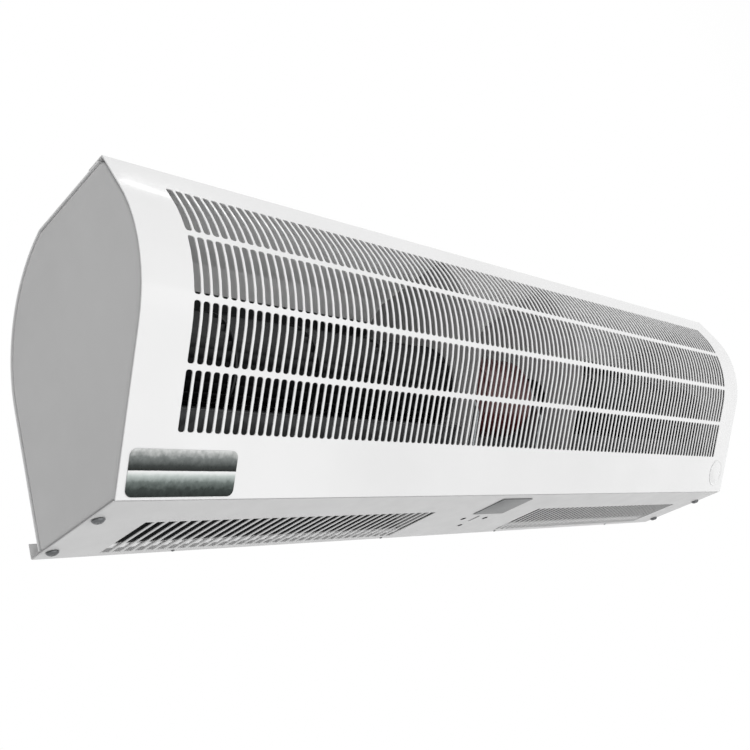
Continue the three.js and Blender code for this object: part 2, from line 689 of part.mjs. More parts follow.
const BELL_START = STATOR_HALF + GAP;
const BELL_END = BELL_START + BELL_LENGTH;
const BOSS_END = BELL_END + BOSS_LENGTH;
const SHAFT_END = WHEEL_START - GAP;
const HUB_START = SHAFT_END - HUB_LENGTH;
const BRACKET_START = BELL_END + BOSS_LENGTH / 2 - BRACKET_SHEET / 2;
const RING_BORE = (BOSS_RADIUS + GAP) / Math.cos(Math.PI / MOTOR_SIDES);

function motorStator() {
  const bore = boreFor(SHAFT_RADIUS, MOTOR_SIDES) + STATOR_AIR;
  return solid(latheFan(ringProfile(bore, MOTOR_RADIUS, -STATOR_HALF, STATOR_HALF), MOTOR_SIDES));
}

function motorBell(side) {
  const bore = boreFor(SHAFT_RADIUS, MOTOR_SIDES);
  const x = (value) => side * value;
  return solid(latheFan([
    [bore, x(BELL_START)], [MOTOR_RADIUS, x(BELL_START)],
    [MOTOR_RADIUS - BELL_SHOULDER, x(BELL_START + BELL_LENGTH / 2)],
    [MOTOR_RADIUS - BELL_DRAFT, x(BELL_END)], [BOSS_RADIUS, x(BELL_END)], [BOSS_RADIUS, x(BOSS_END)],
    [bore, x(BOSS_END)], [bore, x(BELL_START)],
  ], MOTOR_SIDES));
}

function motorShaft() {
  const end = SHAFT_END - GAP;
  return solid(latheFan([[0, -end], [SHAFT_RADIUS, -end], [SHAFT_RADIUS, end], [0, end]], MOTOR_SIDES));
}

function shaftHub(side) {
  const bore = boreFor(SHAFT_RADIUS, MOTOR_SIDES);
  return solid(latheFan(ringProfile(bore, HUB_RADIUS, side * HUB_START, side * SHAFT_END), MOTOR_SIDES));
}

function motorRing(side) {
  const start = BELL_END + GAP;
  const profile = ringProfile(RING_BORE, RING_BORE + RING_THICKNESS, side * start, side * (BOSS_END - GAP));
  return solid(latheFan(profile, MOTOR_SIDES));
}

// Standing plate that carries the motor's rubber ring, with a foot.
function motorBracket(side) {
  const hole = (RING_BORE + RING_THICKNESS + GAP) / Math.cos(Math.PI / MOTOR_SIDES);
  const rim = hole + BRACKET_RIM;
  const archSteps = 8;
  const arch = Array.from({ length: archSteps + 1 }, (_, i) => aroundFan(rim, 180 - (180 * i) / archSteps));
  const [frontLow, frontHigh, back] = BRACKET_SHOULDERS.map((height) => FLOOR + height);
  const outline = [
    [BRACKET_FRONT, FLOOR], [BRACKET_FRONT, frontLow], [FAN_Y - rim, frontHigh],
    ...arch, [BRACKET_BACK, back], [BRACKET_BACK, FLOOR],
  ];
  const holes = [circle(FAN_Y, FAN_Z, hole, MOTOR_SIDES)];
  const [footStart, footEnd] = span(side, BRACKET_START, BRACKET_START + RETURN_FLANGE);
  return join(
    extrudeX(outline, ...span(side, BRACKET_START, BRACKET_START + BRACKET_SHEET), holes),
    box(footStart, BRACKET_FRONT, FLOOR, footEnd, BRACKET_BACK, FLOOR + BRACKET_SHEET),
  );
}

// ------------------------------------------------------- controls and wiring

const BACK_FACE = DEPTH - SHEET - GAP; // front face of what is fixed to the back wall

function controlBoard() {
  const boardBack = DEPTH - BOARD_TO_BACK;
  const postTop = BOARD_Z + BOARD_THICKNESS / 2;
  const corners = [-1, 1].flatMap((side) => (
    [BOARD_FRONT, boardBack].map((y, i) => (
      [side * (BOARD_HALF_LENGTH - 2 * BOARD_POST), y + (i ? -2 : 2) * BOARD_POST]
    ))
  ));
  const posts = corners.map(([x, y]) => extrudeZ(circle(x, y, BOARD_POST, POST_SIDES), FLOOR, postTop));
  const board = box(
    -BOARD_HALF_LENGTH, BOARD_FRONT, BOARD_Z, BOARD_HALF_LENGTH, boardBack, BOARD_Z + BOARD_THICKNESS,
  );
  return join(board, ...posts);
}

function tactSwitch(side) {
  const top = BOARD_Z - GAP;
  const half = SWITCH_SIZE / 2;
  const x = side * BUTTON_X;
  return solid(box(x - half, CONTROL_Y - half, top - SWITCH_HEIGHT, x + half, CONTROL_Y + half, top));
}

// Cap in the plate's hole, a collar above the plate and a stem to the switch.
function pushButton(side) {
  const stemTop = BOARD_Z - GAP - SWITCH_HEIGHT - GAP - BUTTON_TRAVEL;
  const collarTop = FLOOR + SHEET;
  return solid(latheZ([
    [0, RECESS], [BUTTON_RADIUS, RECESS], [BUTTON_RADIUS, FLOOR], [BUTTON_COLLAR, FLOOR],
    [BUTTON_COLLAR, collarTop], [BUTTON_STEM, collarTop], [BUTTON_STEM, stemTop], [0, stemTop],
  ], SMALL_SIDES, side * BUTTON_X, CONTROL_Y));
}

function receiverWindow() {
  const lens = [WINDOW_WIDTH / 2, WINDOW_LENGTH / 2];
  const flange = lens.map((half) => half + WINDOW_FLANGE);
  return join(
    box(-lens[0], CONTROL_Y - lens[1], RECESS, lens[0], CONTROL_Y + lens[1], FLOOR + SHEET / 2),
    box(-flange[0], CONTROL_Y - flange[1], FLOOR, flange[0], CONTROL_Y + flange[1], FLOOR + SHEET),
  );
}

function statusLamp() {
  return solid(latheZ([
    [0, -RECESS], [BUTTON_RADIUS, SHEET / 2], [BUTTON_RADIUS, FLOOR], [BUTTON_COLLAR, FLOOR],
    [BUTTON_COLLAR, FLOOR + SHEET], [0, BOARD_Z - GAP],
  ], SMALL_SIDES, 0, LAMP_Y));
}

function runCapacitor() {
  const { x, z, depth } = CAPACITOR;
  return solid(box(x[0], BACK_FACE - depth, z[0], x[1], BACK_FACE, z[1]));
}

// Rail of screw terminals: a base with raised barriers between the poles.
function terminalBlock() {
  const { x: [x0, x1], z: [z0, z1], poles, wall, base, depth } = TERMINALS;
  const step = (x1 - x0 - wall) / poles;
  const barriers = Array.from({ length: poles + 1 }, (_, i) => (
    box(x0 + i * step, BACK_FACE - depth, z0, x0 + i * step + wall, BACK_FACE - base / 2, z1)
  ));
  return join(box(x0, BACK_FACE - base, z0, x1, BACK_FACE, z1), ...barriers);
}

// Closed rubber grommet in the back wall, pierced when the unit is wired.
function cableGrommet() {
  const inside = -SHEET - GAP;
  const neck = GROMMET_HOLE * Math.cos(Math.PI / JOURNAL_SIDES) - GAP;
  const brim = GROMMET_HOLE + GROMMET_BRIM;
  const top = GAP + GROMMET_LIP;
  const grommet = latheZ([
    [0, inside - GROMMET_LIP], [brim, inside - GROMMET_LIP], [brim, inside], [neck, inside], [neck, GAP],
    [brim, GAP], [brim - GROMMET_LIP / 2, top], [neck - GROMMET_LIP / 2, top],
    [neck - GROMMET_LIP, top - GROMMET_LIP / 2], [0, top - GROMMET_LIP / 2],
  ], JOURNAL_SIDES, 0, 0);
  return solid(grommet.rotateX(-Math.PI / 2).translate(HALF - GROMMET_INSET, DEPTH, GROMMET_Z));
}

// ------------------------------------------------------ screws and stickers

function panScrew(side, y) {
  const seat = -GAP;
  const tip = LEDGE + SCREW_BEYOND;
  return solid(latheZ([
    [0, seat - SCREW_HEAD], [SCREW_HEAD_RADIUS * 0.75, seat - SCREW_HEAD * 0.8],
    [SCREW_HEAD_RADIUS, seat - SCREW_EDGE], [SCREW_HEAD_RADIUS, seat],
    [SCREW_SHANK_RADIUS, seat], [SCREW_SHANK_RADIUS, tip], [0, tip],
  ], SMALL_SIDES, side * SCREW_X, y));
}

// Places a flat piece drawn in (x, height) on the front's straight lower run.
function onFront(geometry, x, along) {
  const { point, normal } = frontAt(along);
  const up = new THREE.Vector3(0, -Math.sin(FRONT_LEAN), Math.cos(FRONT_LEAN));
  const out = new THREE.Vector3(0, normal[0], normal[1]);
  const place = new THREE.Matrix4().makeBasis(new THREE.Vector3(1, 0, 0), up, out);
  place.setPosition(x, point[0] + normal[0] * GAP, point[1] + normal[1] * GAP);
  return geometry.applyMatrix4(place);
}

function roundedRectangle(halfLength, halfHeight, radius, steps) {
  const quarter = (cx, cy, from) => Array.from({ length: steps + 1 }, (_, i) => {
    const angle = from + (Math.PI / 2) * (i / steps);
    return [cx + radius * Math.cos(angle), cy + radius * Math.sin(angle)];
  });
  const [u, v] = [halfLength - radius, halfHeight - radius];
  return [
    ...quarter(u, v, 0), ...quarter(-u, v, Math.PI / 2),
    ...quarter(-u, -v, Math.PI), ...quarter(u, -v, -Math.PI / 2),
  ];
}

function frontSticker() {
  const outline = roundedRectangle(STICKER_LENGTH / 2, STICKER_HEIGHT / 2, STICKER_CORNER, 2);
  return solid(onFront(extrudeZ(outline, 0, STICKER_THICKNESS), STICKER_INSET - HALF, STICKER_ALONG));
}

function roundBadge() {
  const disc = extrudeZ(circle(0, 0, BADGE_RADIUS, 2 * SMALL_SIDES), 0, STICKER_THICKNESS);
  return solid(onFront(disc, HALF - BADGE_INSET, BADGE_ALONG));
}

function ratingPlate() {
  const [x0, y0, x1, y1] = PLATE_BOX;
  return solid(box(x0, y0, -GAP - STICKER_THICKNESS, x1, y1, -GAP));
}

// ------------------------------------------------------------------ assembly

addPiece('front_grille_panel', frontGrillePanel(), MATERIALS.glossWhite);
addPair('side_plate', sidePlate, MATERIALS.sideGrey);
addPiece('rear_shell', rearShell(), MATERIALS.plateGrey);
addPiece('bottom_outlet_plate', bottomOutletPlate(), MATERIALS.plateGrey);
addPiece('mounting_rail', mountingRail(), MATERIALS.zinc);

addPair('partition', partition, MATERIALS.zinc);
addPair('rear_guide', rearGuide, MATERIALS.blackSheet);
addPair('front_tongue', frontTongue, MATERIALS.zinc);
addPair('impeller', impeller, MATERIALS.wheelBlack);
addPair('stub_shaft', stubShaft, MATERIALS.steel);
addPair('end_bush', endBush, MATERIALS.rubber);
addPair('bush_seat', bushSeat, MATERIALS.zinc);

addPiece('motor_stator', motorStator(), MATERIALS.motorRed);
addPair('motor_bell', motorBell, MATERIALS.motorRed);
addPair('motor_ring', motorRing, MATERIALS.rubber);
addPair('motor_bracket', motorBracket, MATERIALS.zinc);
addPiece('motor_shaft', motorShaft(), MATERIALS.steel);
addPair('shaft_hub', shaftHub, MATERIALS.rubber);

addPiece('control_board', controlBoard(), MATERIALS.boardGreen);
addPair('tact_switch', tactSwitch, MATERIALS.plasticBlack);
addPair('button', pushButton, MATERIALS.plasticBlack);
addPiece('receiver_window', receiverWindow(), MATERIALS.plasticBlack);
addPiece('status_lamp', statusLamp(), MATERIALS.plasticBlack);
addPiece('run_capacitor', runCapacitor(), MATERIALS.plasticWhite);
addPiece('terminal_block', terminalBlock(), MATERIALS.plasticWhite);
addPiece('cable_grommet', cableGrommet(), MATERIALS.rubber);

for (const [place, y] of [['front', SCREW_ROWS[0]], ['rear', SCREW_ROWS[1]]]) {
  addPair(`${place}_screw`, (side) => panScrew(side, y), MATERIALS.darkSteel);
}
addPiece('front_sticker', frontSticker(), MATERIALS.silverFilm);
addPiece('round_badge', roundBadge(), MATERIALS.glossWhite);
addPiece('rating_plate', ratingPlate(), MATERIALS.plateFilm);

unit.position.set(0, -WALL, -RAIL_Z);
const airCurtain = new THREE.Group();
airCurtain.add(unit);
airCurtain.updateMatrixWorld(true);

export default airCurtain;
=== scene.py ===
"""Air curtain: the finish of every surface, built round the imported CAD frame.

Sheet metal is a bent path carried along X: a profile in (y, z) made of straight runs and even bends, pierced
by openings that are drawn in the sheet's flat, developed plane. Round pieces are profiles turned about an
axis, and moulded pieces are an outline carried through a list of (inset, height) steps.

Everything is in metres. Shapes are worked out in the unit's own place, with its lower front edge at y = 0 and
z = 0, and new_piece moves them to the row frame.
"""

import math

import bmesh
import bpy
import numpy as np
from mathutils import Euler, Matrix, Vector


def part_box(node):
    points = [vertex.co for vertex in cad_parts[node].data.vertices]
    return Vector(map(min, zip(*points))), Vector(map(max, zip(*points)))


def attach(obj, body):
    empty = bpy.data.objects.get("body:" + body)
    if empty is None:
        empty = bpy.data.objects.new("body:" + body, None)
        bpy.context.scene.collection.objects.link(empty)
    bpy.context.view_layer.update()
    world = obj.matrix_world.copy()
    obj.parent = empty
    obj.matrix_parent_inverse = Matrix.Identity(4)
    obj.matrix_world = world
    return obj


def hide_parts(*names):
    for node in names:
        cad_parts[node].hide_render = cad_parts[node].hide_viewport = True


bl_info = {
    "name": "Air Curtain",
    "version": (1, 0, 0),
    "blender": (4, 5, 0),
    "location": "3D View > Sidebar > Air Curtain",
    "description": "Builds a slotted air curtain and its studio round the packed frame",
    "category": "Add Mesh",
}

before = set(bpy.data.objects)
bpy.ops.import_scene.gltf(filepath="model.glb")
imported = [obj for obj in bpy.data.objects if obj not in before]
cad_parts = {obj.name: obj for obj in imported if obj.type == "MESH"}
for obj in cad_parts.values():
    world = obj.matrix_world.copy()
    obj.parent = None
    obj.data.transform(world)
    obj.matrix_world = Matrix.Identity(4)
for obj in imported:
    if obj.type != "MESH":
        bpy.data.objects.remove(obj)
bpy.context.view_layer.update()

MM = 0.001

# Driving sizes that the frame's boxes don't give
DEPTH = 104 * MM  # lower front edge to the casing's back wall
SHEET = 1.2 * MM
THIN_SHEET = 0.8 * MM  # the pierced sheets, whose cut edges show
GAP = 0.3 * MM
EDGE = 0.25 * MM  # broken edges of sheet metal
FINEST = 0.05 * MM  # least radius of a corner
SLIGHT_TURN = math.radians(12)  # corners that turn less than this aren't rounded

FRONT_LEAN = math.radians(34.2)
FRONT_RUN = 112.5 * MM
FRONT_RADIUS = 105 * MM
FRONT_SWEEP = math.radians(51.8)
CREST_LEAN = math.radians(20)
CREST_LENGTH = 37.6 * MM
TOP_FLANGE = 18 * MM
RETURN_FLANGE = 14 * MM
BACK_RADIUS = 113.5 * MM
BACK_SWEEP = math.radians(71)
BACK_FLANGE = 11 * MM
FOLD = 1.8 * MM  # outer radius of a small fold
PLATE_CORNER = 1.2 * MM
CREST_CORNER = 7 * MM  # where the crest strip meets the top
RIM_INSET = 2.1 * MM  # the side plates' rims lie under the sheets' ends, a shadow gap below them

ROWS = 4
FIRST_ROW = 45.3 * MM
ROW_LENGTH = 41.4 * MM
ROW_PITCH = 45.4 * MM

OUTLET_INNER = 85.6 * MM
OUTLET_OUTER = 400.76 * MM
OUTLET_COUNT = 33
OUTLET_WIDTH = 7 * MM
OUTLET_FRONT = 43.5 * MM
OUTLET_BACK = 108 * MM

LENS = np.array([1.7, 7.2]) * MM  # half of the receiver window's width and run


def row_box(node):
    """Lowest and highest corner of a CAD node as arrays, in the row frame."""
    low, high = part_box(node)
    return np.array(low), np.array(high)


def unit_origin():
    """Row-frame place of the middle of the unit's lower front edge."""
    back_wall = row_box("rear_shell")[1][1]
    bottom = row_box("bottom_outlet_plate")[0][2]
    return np.array([0.0, back_wall - DEPTH, bottom])


ORIGIN = unit_origin()


def box_of(node):
    """Lowest and highest corner of a CAD node in the unit's own place."""
    low, high = row_box(node)
    return low - ORIGIN, high - ORIGIN


def centre_of(node):
    """Middle of a CAD node's box in the unit's own place."""
    low, high = box_of(node)
    return (low + high) / 2


HALF = box_of("bottom_outlet_plate")[1][0]
WALL = box_of("bottom_outlet_plate")[1][1]
LIP_TOP = box_of("bottom_outlet_plate")[1][2]
HEIGHT = box_of("front_grille_panel")[1][2]
PANEL_HALF = HALF - GAP / 3
TOP = HEIGHT - THIN_SHEET - GAP / 3  # the back shell's top, under the front's flange
FLOOR = box_of("rear_shell")[0][2]
FAN = centre_of("motor_stator")


# ------------------------------------------------------------------ settings


def length(name, description, default):
    """A size that the user may change, in metres."""
    return bpy.props.FloatProperty(
        name=name, description=description, default=default, min=0.0, unit="LENGTH"
    )


def angle(name, description, degrees):
    """An angle that the user may change, given in degrees."""
    return bpy.props.FloatProperty(
        name=name, description=description, default=math.radians(degrees), subtype="ANGLE"
    )


def number(name, description, default):
    """A plain number that the user may change."""
    return bpy.props.FloatProperty(name=name, description=description, default=default)


def colour(name, description, default):
    """A finish colour, in linear light."""
    return bpy.props.FloatVectorProperty(
        name=name, description=description, default=default, size=3, min=0.0, max=1.0, subtype="COLOR"
    )


class CurtainSizes(bpy.types.PropertyGroup):
    """Sizes of the casing and its fittings"""

    slot_width: length("Slot width", "Width of the upright slots in the front", 5.3 * MM)
    slot_pitch: length("Slot pitch", "Distance from slot to slot along the front", 7.48 * MM)
    slot_corner: length("Slot corner radius", "Rounding of the slots' corners", 1.9 * MM)
    edge_round: length("Side edge radius", "Rounding of the side plates' outer edge", 3.0 * MM)
    blade_thickness: length("Blade thickness", "Thickness of the wheels' blades", 1.0 * MM)
    slots: bpy.props.IntProperty(name="Slots", description="Slots in each row", default=110, min=1)
    blades: bpy.props.IntProperty(name="Blades", description="Blades round each wheel", default=32, min=3)


class CurtainColours(bpy.types.PropertyGroup):
    """Colours of the finishes"""

    front: colour("Front", "Gloss powder coat of the front", (0.8, 0.8, 0.8))
    # The side plates carry the front's white coat, darkened from 0.8 to 0.6 as painted shade on the ends.
    side: colour("Sides", "Satin powder coat of the side plates", (0.6, 0.6, 0.6))
    # The outlet plate carries the front's white coat, darkened to 0.59 as painted shade on the underside.
    bottom: colour("Bottom", "Satin powder coat of the outlet plate", (0.59, 0.59, 0.59))
    shell: colour("Back", "Satin powder coat of the back shell", (0.85, 0.85, 0.85))
    # The motor's red is a guessed real colour, kept near black as partly painted shade inside the casing.
    motor: colour("Motor", "Enamel of the motor", (0.075, 0.009, 0.01))
    wheel: colour("Wheels", "Moulded wheels", (0.012, 0.013, 0.014))
    board: colour("Board", "Circuit board", (0.012, 0.09, 0.04))


class CurtainStudio(bpy.types.PropertyGroup):
    """Camera and light"""

    azimuth: angle("Azimuth", "Turn of the camera round the unit", -49.536)
    elevation: angle("Elevation", "Height of the camera, as an angle", -18.313)
    roll: angle("Roll", "Turn of the camera about its own axis", 16.514)
    place: bpy.props.FloatVectorProperty(
        name="Camera place", description="Place of the camera", default=(-0.7714, -0.6066, -0.2573), size=3,
        subtype="TRANSLATION", unit="LENGTH",
    )
    lens: bpy.props.FloatProperty(
        name="Lens", description="Focal length on a 36 mm sensor", default=45.447, subtype="DISTANCE_CAMERA"
    )
    shift_x: number("Shift across", "Sideways shift of the crop", 0.0109)
    shift_y: number("Shift up", "Upward shift of the crop", 0.0660)
    ambient: number("Ambient", "Strength of the white surroundings", 1.0)
    left_share: number("Left share", "Share of the ambient light that comes from the left", 0.3)
    floor_drop: length("Floor", "Floor below the bottom of the unit", 2.2)


# ---------------------------------------------------------------- mesh making


def joined_mesh(name, points, faces, closed=True):
    """Mesh with doubled points joined and, if it is closed, with its faces turned outwards."""
    mesh = bpy.data.meshes.new(name)
    mesh.from_pydata(points, [], faces)
    work = bmesh.new()
    work.from_mesh(mesh)
    bmesh.ops.remove_doubles(work, verts=work.verts, dist=1e-6)
    if closed:
        bmesh.ops.recalc_face_normals(work, faces=work.faces)
    work.to_mesh(mesh)
    work.free()
    return mesh


def in_scene(name, data):
    """Object with this mesh, lamp or camera, linked to the scene."""
    made = bpy.data.objects.new(name, data)
    bpy.context.scene.collection.objects.link(made)
    return made


def new_piece(name, points, faces, finish_name, replaces=(), body="housing", smooth=40.0, slot=None):
    """Makes a piece of the object from an array of points and lists of faces.

    Edges sharper than `smooth` degrees stay sharp. The `slot` argument is not used.
    """
    mesh = joined_mesh(name, np.asarray(points, float).reshape(-1, 3) + ORIGIN, faces)
    mesh.shade_smooth()
    mesh.set_sharp_from_angle(angle=math.radians(smooth))
    piece = in_scene(name, mesh)
    mesh.materials.append(finish(finish_name))
    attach(piece, body)
    if replaces:
        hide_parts(*replaces)


def grid_faces(rows, columns, wrap_rows=False, wrap_columns=False):
    """Quads between neighbouring points of a grid whose point (i, j) has the number i * columns + j."""
    i = np.arange(rows if wrap_rows else rows - 1)[:, None]
    j = np.arange(columns if wrap_columns else columns - 1)[None, :]
    i_next = (i + 1) % rows
    j_next = (j + 1) % columns
    corners = [i * columns + j, i_next * columns + j, i_next * columns + j_next, i * columns + j_next]
    return np.stack(np.broadcast_arrays(*corners), axis=-1).reshape(-1, 4)


def merged(parts):
    """Joins several (points, faces) into one, moving each part's face numbers on by the points before it."""
    points = []
    faces = []
    count = 0
    for part_points, part_faces in parts:
        points.append(np.asarray(part_points, float).reshape(-1, 3))
        faces.extend([tuple(np.asarray(face) + count) for face in part_faces])
        count += len(points[-1])
    return np.concatenate(points), faces


def rounded(points, radius, steps=3, closed=False):
    """Polyline with its sharp corners replaced by arcs, of one radius or of one for each corner.

    At a corner whose sides meet at twice the angle h, the arc touches each side at radius / tan(h) from the
    corner, at most 45% of the shorter side, and its points turn evenly about the arc's centre.
    """
    points = np.asarray(points, float)
    count = len(points)
    radii = np.broadcast_to(radius, count)
    made = []
    for i, corner in enumerate(points):
        if not closed and i in (0, count - 1):
            made.append(corner)
            continue
        back = points[i - 1] - corner
        ahead = points[(i + 1) % count] - corner
        room = 0.45 * min(np.linalg.norm(back), np.linalg.norm(ahead))
        back = back / np.linalg.norm(back)
        ahead = ahead / np.linalg.norm(ahead)
        between = math.acos(float(np.clip(back @ ahead, -1, 1)))
        if math.pi - between < SLIGHT_TURN:
            made.append(corner)
            continue
        tangent = min(radii[i] / math.tan(between / 2), room)
        bisector = (back + ahead) / np.linalg.norm(back + ahead)
        centre = corner + bisector * tangent / math.cos(between / 2)
        start = corner + back * tangent - centre
        end = corner + ahead * tangent - centre
        sweep = math.pi - between
        for k in np.linspace(0, 1, steps + 1):
            reach = start * math.sin((1 - k) * sweep) + end * math.sin(k * sweep)
            made.append(centre + reach / math.sin(sweep))
    return np.array(made)


def circle(sides, radius=1.0, start=0.0):
    """Points on a circle, evenly spaced, anticlockwise."""
    angles = start + np.arange(sides) * 2 * math.pi / sides
    return radius * np.stack([np.cos(angles), np.sin(angles)], axis=1)


AXES = {
    "X": lambda radius, along, c, s: (along, radius * c, radius * s),
    "Y": lambda radius, along, c, s: (radius * s, along, radius * c),
    "Z": lambda radius, along, c, s: (radius * c, radius * s, along),
}


def turned(profile, axis, at, sides=48):
    """Surface of revolution: each profile point (radius, along) is carried round the axis through `at`."""
    profile = np.asarray(profile, float)
    angles = np.arange(sides) * 2 * math.pi / sides
    radius, c = np.meshgrid(profile[:, 0], np.cos(angles), indexing="ij")
    along, s = np.meshgrid(profile[:, 1], np.sin(angles), indexing="ij")
    points = np.stack(AXES[axis](radius, along, c, s), axis=-1) + np.asarray(at, float)
    return points.reshape(-1, 3), grid_faces(len(profile), sides, wrap_columns=True)


def turned_ring(profile, axis, at, sides=48):
    """Surface of revolution of a closed profile."""
    points, _ = turned(profile, axis, at, sides)
    return points, grid_faces(len(profile), sides, wrap_rows=True, wrap_columns=True)


def inset(outline, distance):
    """Closed anticlockwise outline with every side moved inwards by the same distance, corners mitred."""
    ahead = np.roll(outline, -1, axis=0) - outline
    normal = np.stack([-ahead[:, 1], ahead[:, 0]], axis=1) / np.linalg.norm(ahead, axis=1, keepdims=True)
    before = np.roll(normal, 1, axis=0)
    both = before + normal
    return outline + distance * both / (1 + np.sum(before * normal, axis=1))[:, None]


def moulded(outline, section, place):
    """Closed body: the outline, inset by each step of the section, at that step's height, with flat ends.

    `outline` gives the anticlockwise ring for an inset distance, always with the same number of points, and
    `place` turns arrays (u, v, height) into (x, y, z).
    """
    rings = np.stack([outline(distance) for distance, _ in section])
    count = rings.shape[1]
    heights = np.array([height for _, height in section])[:, None] * np.ones(count)
    points = np.stack(place(rings[..., 0], rings[..., 1], heights), axis=-1)
    ends = [tuple(range(count))[::-1], tuple(range(count * (len(section) - 1), count * len(section)))]
    return points.reshape(-1, 3), [*grid_faces(len(section), count, wrap_columns=True).tolist(), *ends]


def edge_section(height, radius, steps=3):
    """(inset, height) steps of a slab from 0 to `height` with both its edges rounded to `radius`."""
    angles = np.linspace(0, math.pi / 2, steps + 1)
    low = np.stack([radius * (1 - np.sin(angles)), radius * (1 - np.cos(angles))], axis=1)
    high = low[::-1] * [1, -1] + [0, height]
    return np.concatenate([low, high])


def eased(corners, radius, steps, distance=0.0):
    """Anticlockwise outline inset by a distance, with its corners rounded about the same centres."""
    radii = np.maximum(np.broadcast_to(radius, len(corners)) - distance, FINEST)
    return rounded(inset(np.asarray(corners, float), distance), radii, steps, closed=True)


def rectangle(u0, v0, u1, v1, radius, steps=4):
    """Outline of a rectangle with rounded corners, as a function of its inset."""
    corners = [(u0, v0), (u1, v0), (u1, v1), (u0, v1)]
    return lambda distance: eased(corners, radius, steps, distance)


def block(low, high, radius, corner=None):
    """Box with rounded corners seen from above and rounded top and bottom edges."""
    outline = rectangle(low[0], low[1], high[0], high[1], corner or radius)
    return moulded(outline, edge_section(high[2] - low[2], radius), lambda u, v, h: (u, v, low[2] + h))


def mirrored(points, faces):
    """The same body on the left: x changes its sign and every face is turned over."""
    return np.asarray(points) * [-1, 1, 1], [tuple(face)[::-1] for face in faces]


def both_sides(name, points, faces, finish_name, nodes, **options):
    """Right-hand body and its mirror image, each in the place of its side's CAD nodes."""
    for side, body in (("right", (points, faces)), ("left", mirrored(points, faces))):
        replaced = [f"{side}_{node}" for node in nodes]
        new_piece(f"{name}_{side}", *body, finish_name, replaced, **options)


class BentPath:
    """Profile in (y, z) made of straight runs and even bends.

    Each piece is (length, turn). After a run u along a piece, the heading has grown by turn * u / length, and
    the chord from the piece's start is u * sin(a) / a long and points along the mean heading, where a is half
    of what the heading has grown. Headings are measured from +Z towards +Y, and the outside lies to the left.
    """

    def __init__(self, start, heading, pieces):
        lengths, turns = np.array(pieces, float).T
        self.knots = np.concatenate([[0], np.cumsum(lengths)])
        self.headings = heading + np.concatenate([[0], np.cumsum(turns)])
        self.bends = turns / lengths
        mean = self.headings[:-1] + turns / 2
        chords = lengths * np.sinc(turns / 2 / math.pi)
        steps = chords[:, None] * np.stack([np.sin(mean), np.cos(mean)], axis=1)
        self.starts = np.array(start, float) + np.concatenate([np.zeros((1, 2)), np.cumsum(steps, axis=0)])

    @classmethod
    def through(cls, corners, radius):
        """Path along a polyline, with each corner bent to the given outer or inner radius."""
        corners = np.asarray(corners, float)
        legs = np.diff(corners, axis=0)
        headings = np.unwrap(np.arctan2(legs[:, 0], legs[:, 1]))
        turns = np.diff(headings)
        cuts = np.concatenate([[0], radius * np.tan(np.abs(turns) / 2), [0]])
        runs = np.linalg.norm(legs, axis=1) - cuts[:-1] - cuts[1:]
        pieces = [(runs[0], 0)]
        for turn, run in zip(turns, runs[1:], strict=True):
            pieces += [(radius * abs(turn), turn), (run, 0)]
        return cls(corners[0], headings[0], pieces)

    def at(self, stations):
        """Points and outward normals at these distances along the path."""
        stations = np.asarray(stations, float)
        piece = np.clip(np.searchsorted(self.knots, stations, side="right") - 1, 0, len(self.bends) - 1)
        run = stations - self.knots[piece]
        turn = self.bends[piece] * run
        mean = self.headings[piece] + turn / 2
        chord = run * np.sinc(turn / 2 / math.pi)
        point = self.starts[piece] + chord[..., None] * np.stack([np.sin(mean), np.cos(mean)], axis=-1)
        heading = self.headings[piece] + turn
        return point, np.stack([-np.cos(heading), np.sin(heading)], axis=-1)

    def surface(self, x, stations, height):
        """Points of the sheet at x, this far along the path and this far outside it."""
        x, stations, height = np.broadcast_arrays(x, stations, height)
        point, normal = self.at(stations)
        profile = point + height[..., None] * normal
        return np.stack([x, profile[..., 0], profile[..., 1]], axis=-1)

    def stations(self, step_angle=8.0):
        """Places along the path for a smooth sheet: ends, their broken edges and even steps in each bend."""
        made = [0.0, EDGE]
        for start, end, bend in zip(self.knots[:-1], self.knots[1:], self.bends, strict=True):
            turn = abs(math.degrees(bend * (end - start)))
            made.extend(np.linspace(start, end, max(1, math.ceil(turn / step_angle)) + 1))
        whole = self.knots[-1]
        made += [whole - EDGE, whole]
        made = np.unique(np.round(made, 7))
        slack = 1e-9
        inside = (made >= EDGE - slack) & (made <= whole - EDGE + slack)
        return made[inside | (made <= slack) | (made >= whole - slack)]


# ------------------------------------------------------------- pierced sheets


def stitched(border, ring, period):
    """Triangles of the strip between two closed loops, each given by its points' growing places on one scale.

    The strip moves on along whichever loop has the nearer next place. Border points are numbered from 0 and
    ring points after them.
    """
    first = len(border)
    border_next = [*border[1:], border[0] + period]
    ring_next = [*ring[1:], ring[0] + period]
    a = b = 0
    made = []
    while a < len(border) or b < len(ring):
        here = (a % len(border), first + b % len(ring))
        if b == len(ring) or (a < len(border) and border_next[a] <= ring_next[b]):
            made.append((here[0], (a + 1) % len(border), here[1]))
            a += 1
        else:
            made.append((here[0], first + (b + 1) % len(ring), here[1]))
            b += 1
    return np.array(made)


class Opening:
    """Openings of one shape: an outline round its cell's middle, and how its points pair with the border's.

    A cell is (column, first row line, last row line), and all cells of an opening have as many rows. `border`
    gives the places of the border's points on the outline, up the right side and down the left side, for that
    many rows.
    """

    def __init__(self, outline, border, cells):
        rows = {last - first for _, first, last in cells}
        if len(rows) != 1:
            raise ValueError(f"cells with different rows: {sorted(rows)}")
        count = len(outline)
        self.outline = np.asarray(outline, float)
        self.strip = stitched(border(rows.pop()), list(range(count)), count)
        self.cells = cells

    def grown(self, distance):
        """The outline moved outwards."""
        return inset(self.outline, -distance)


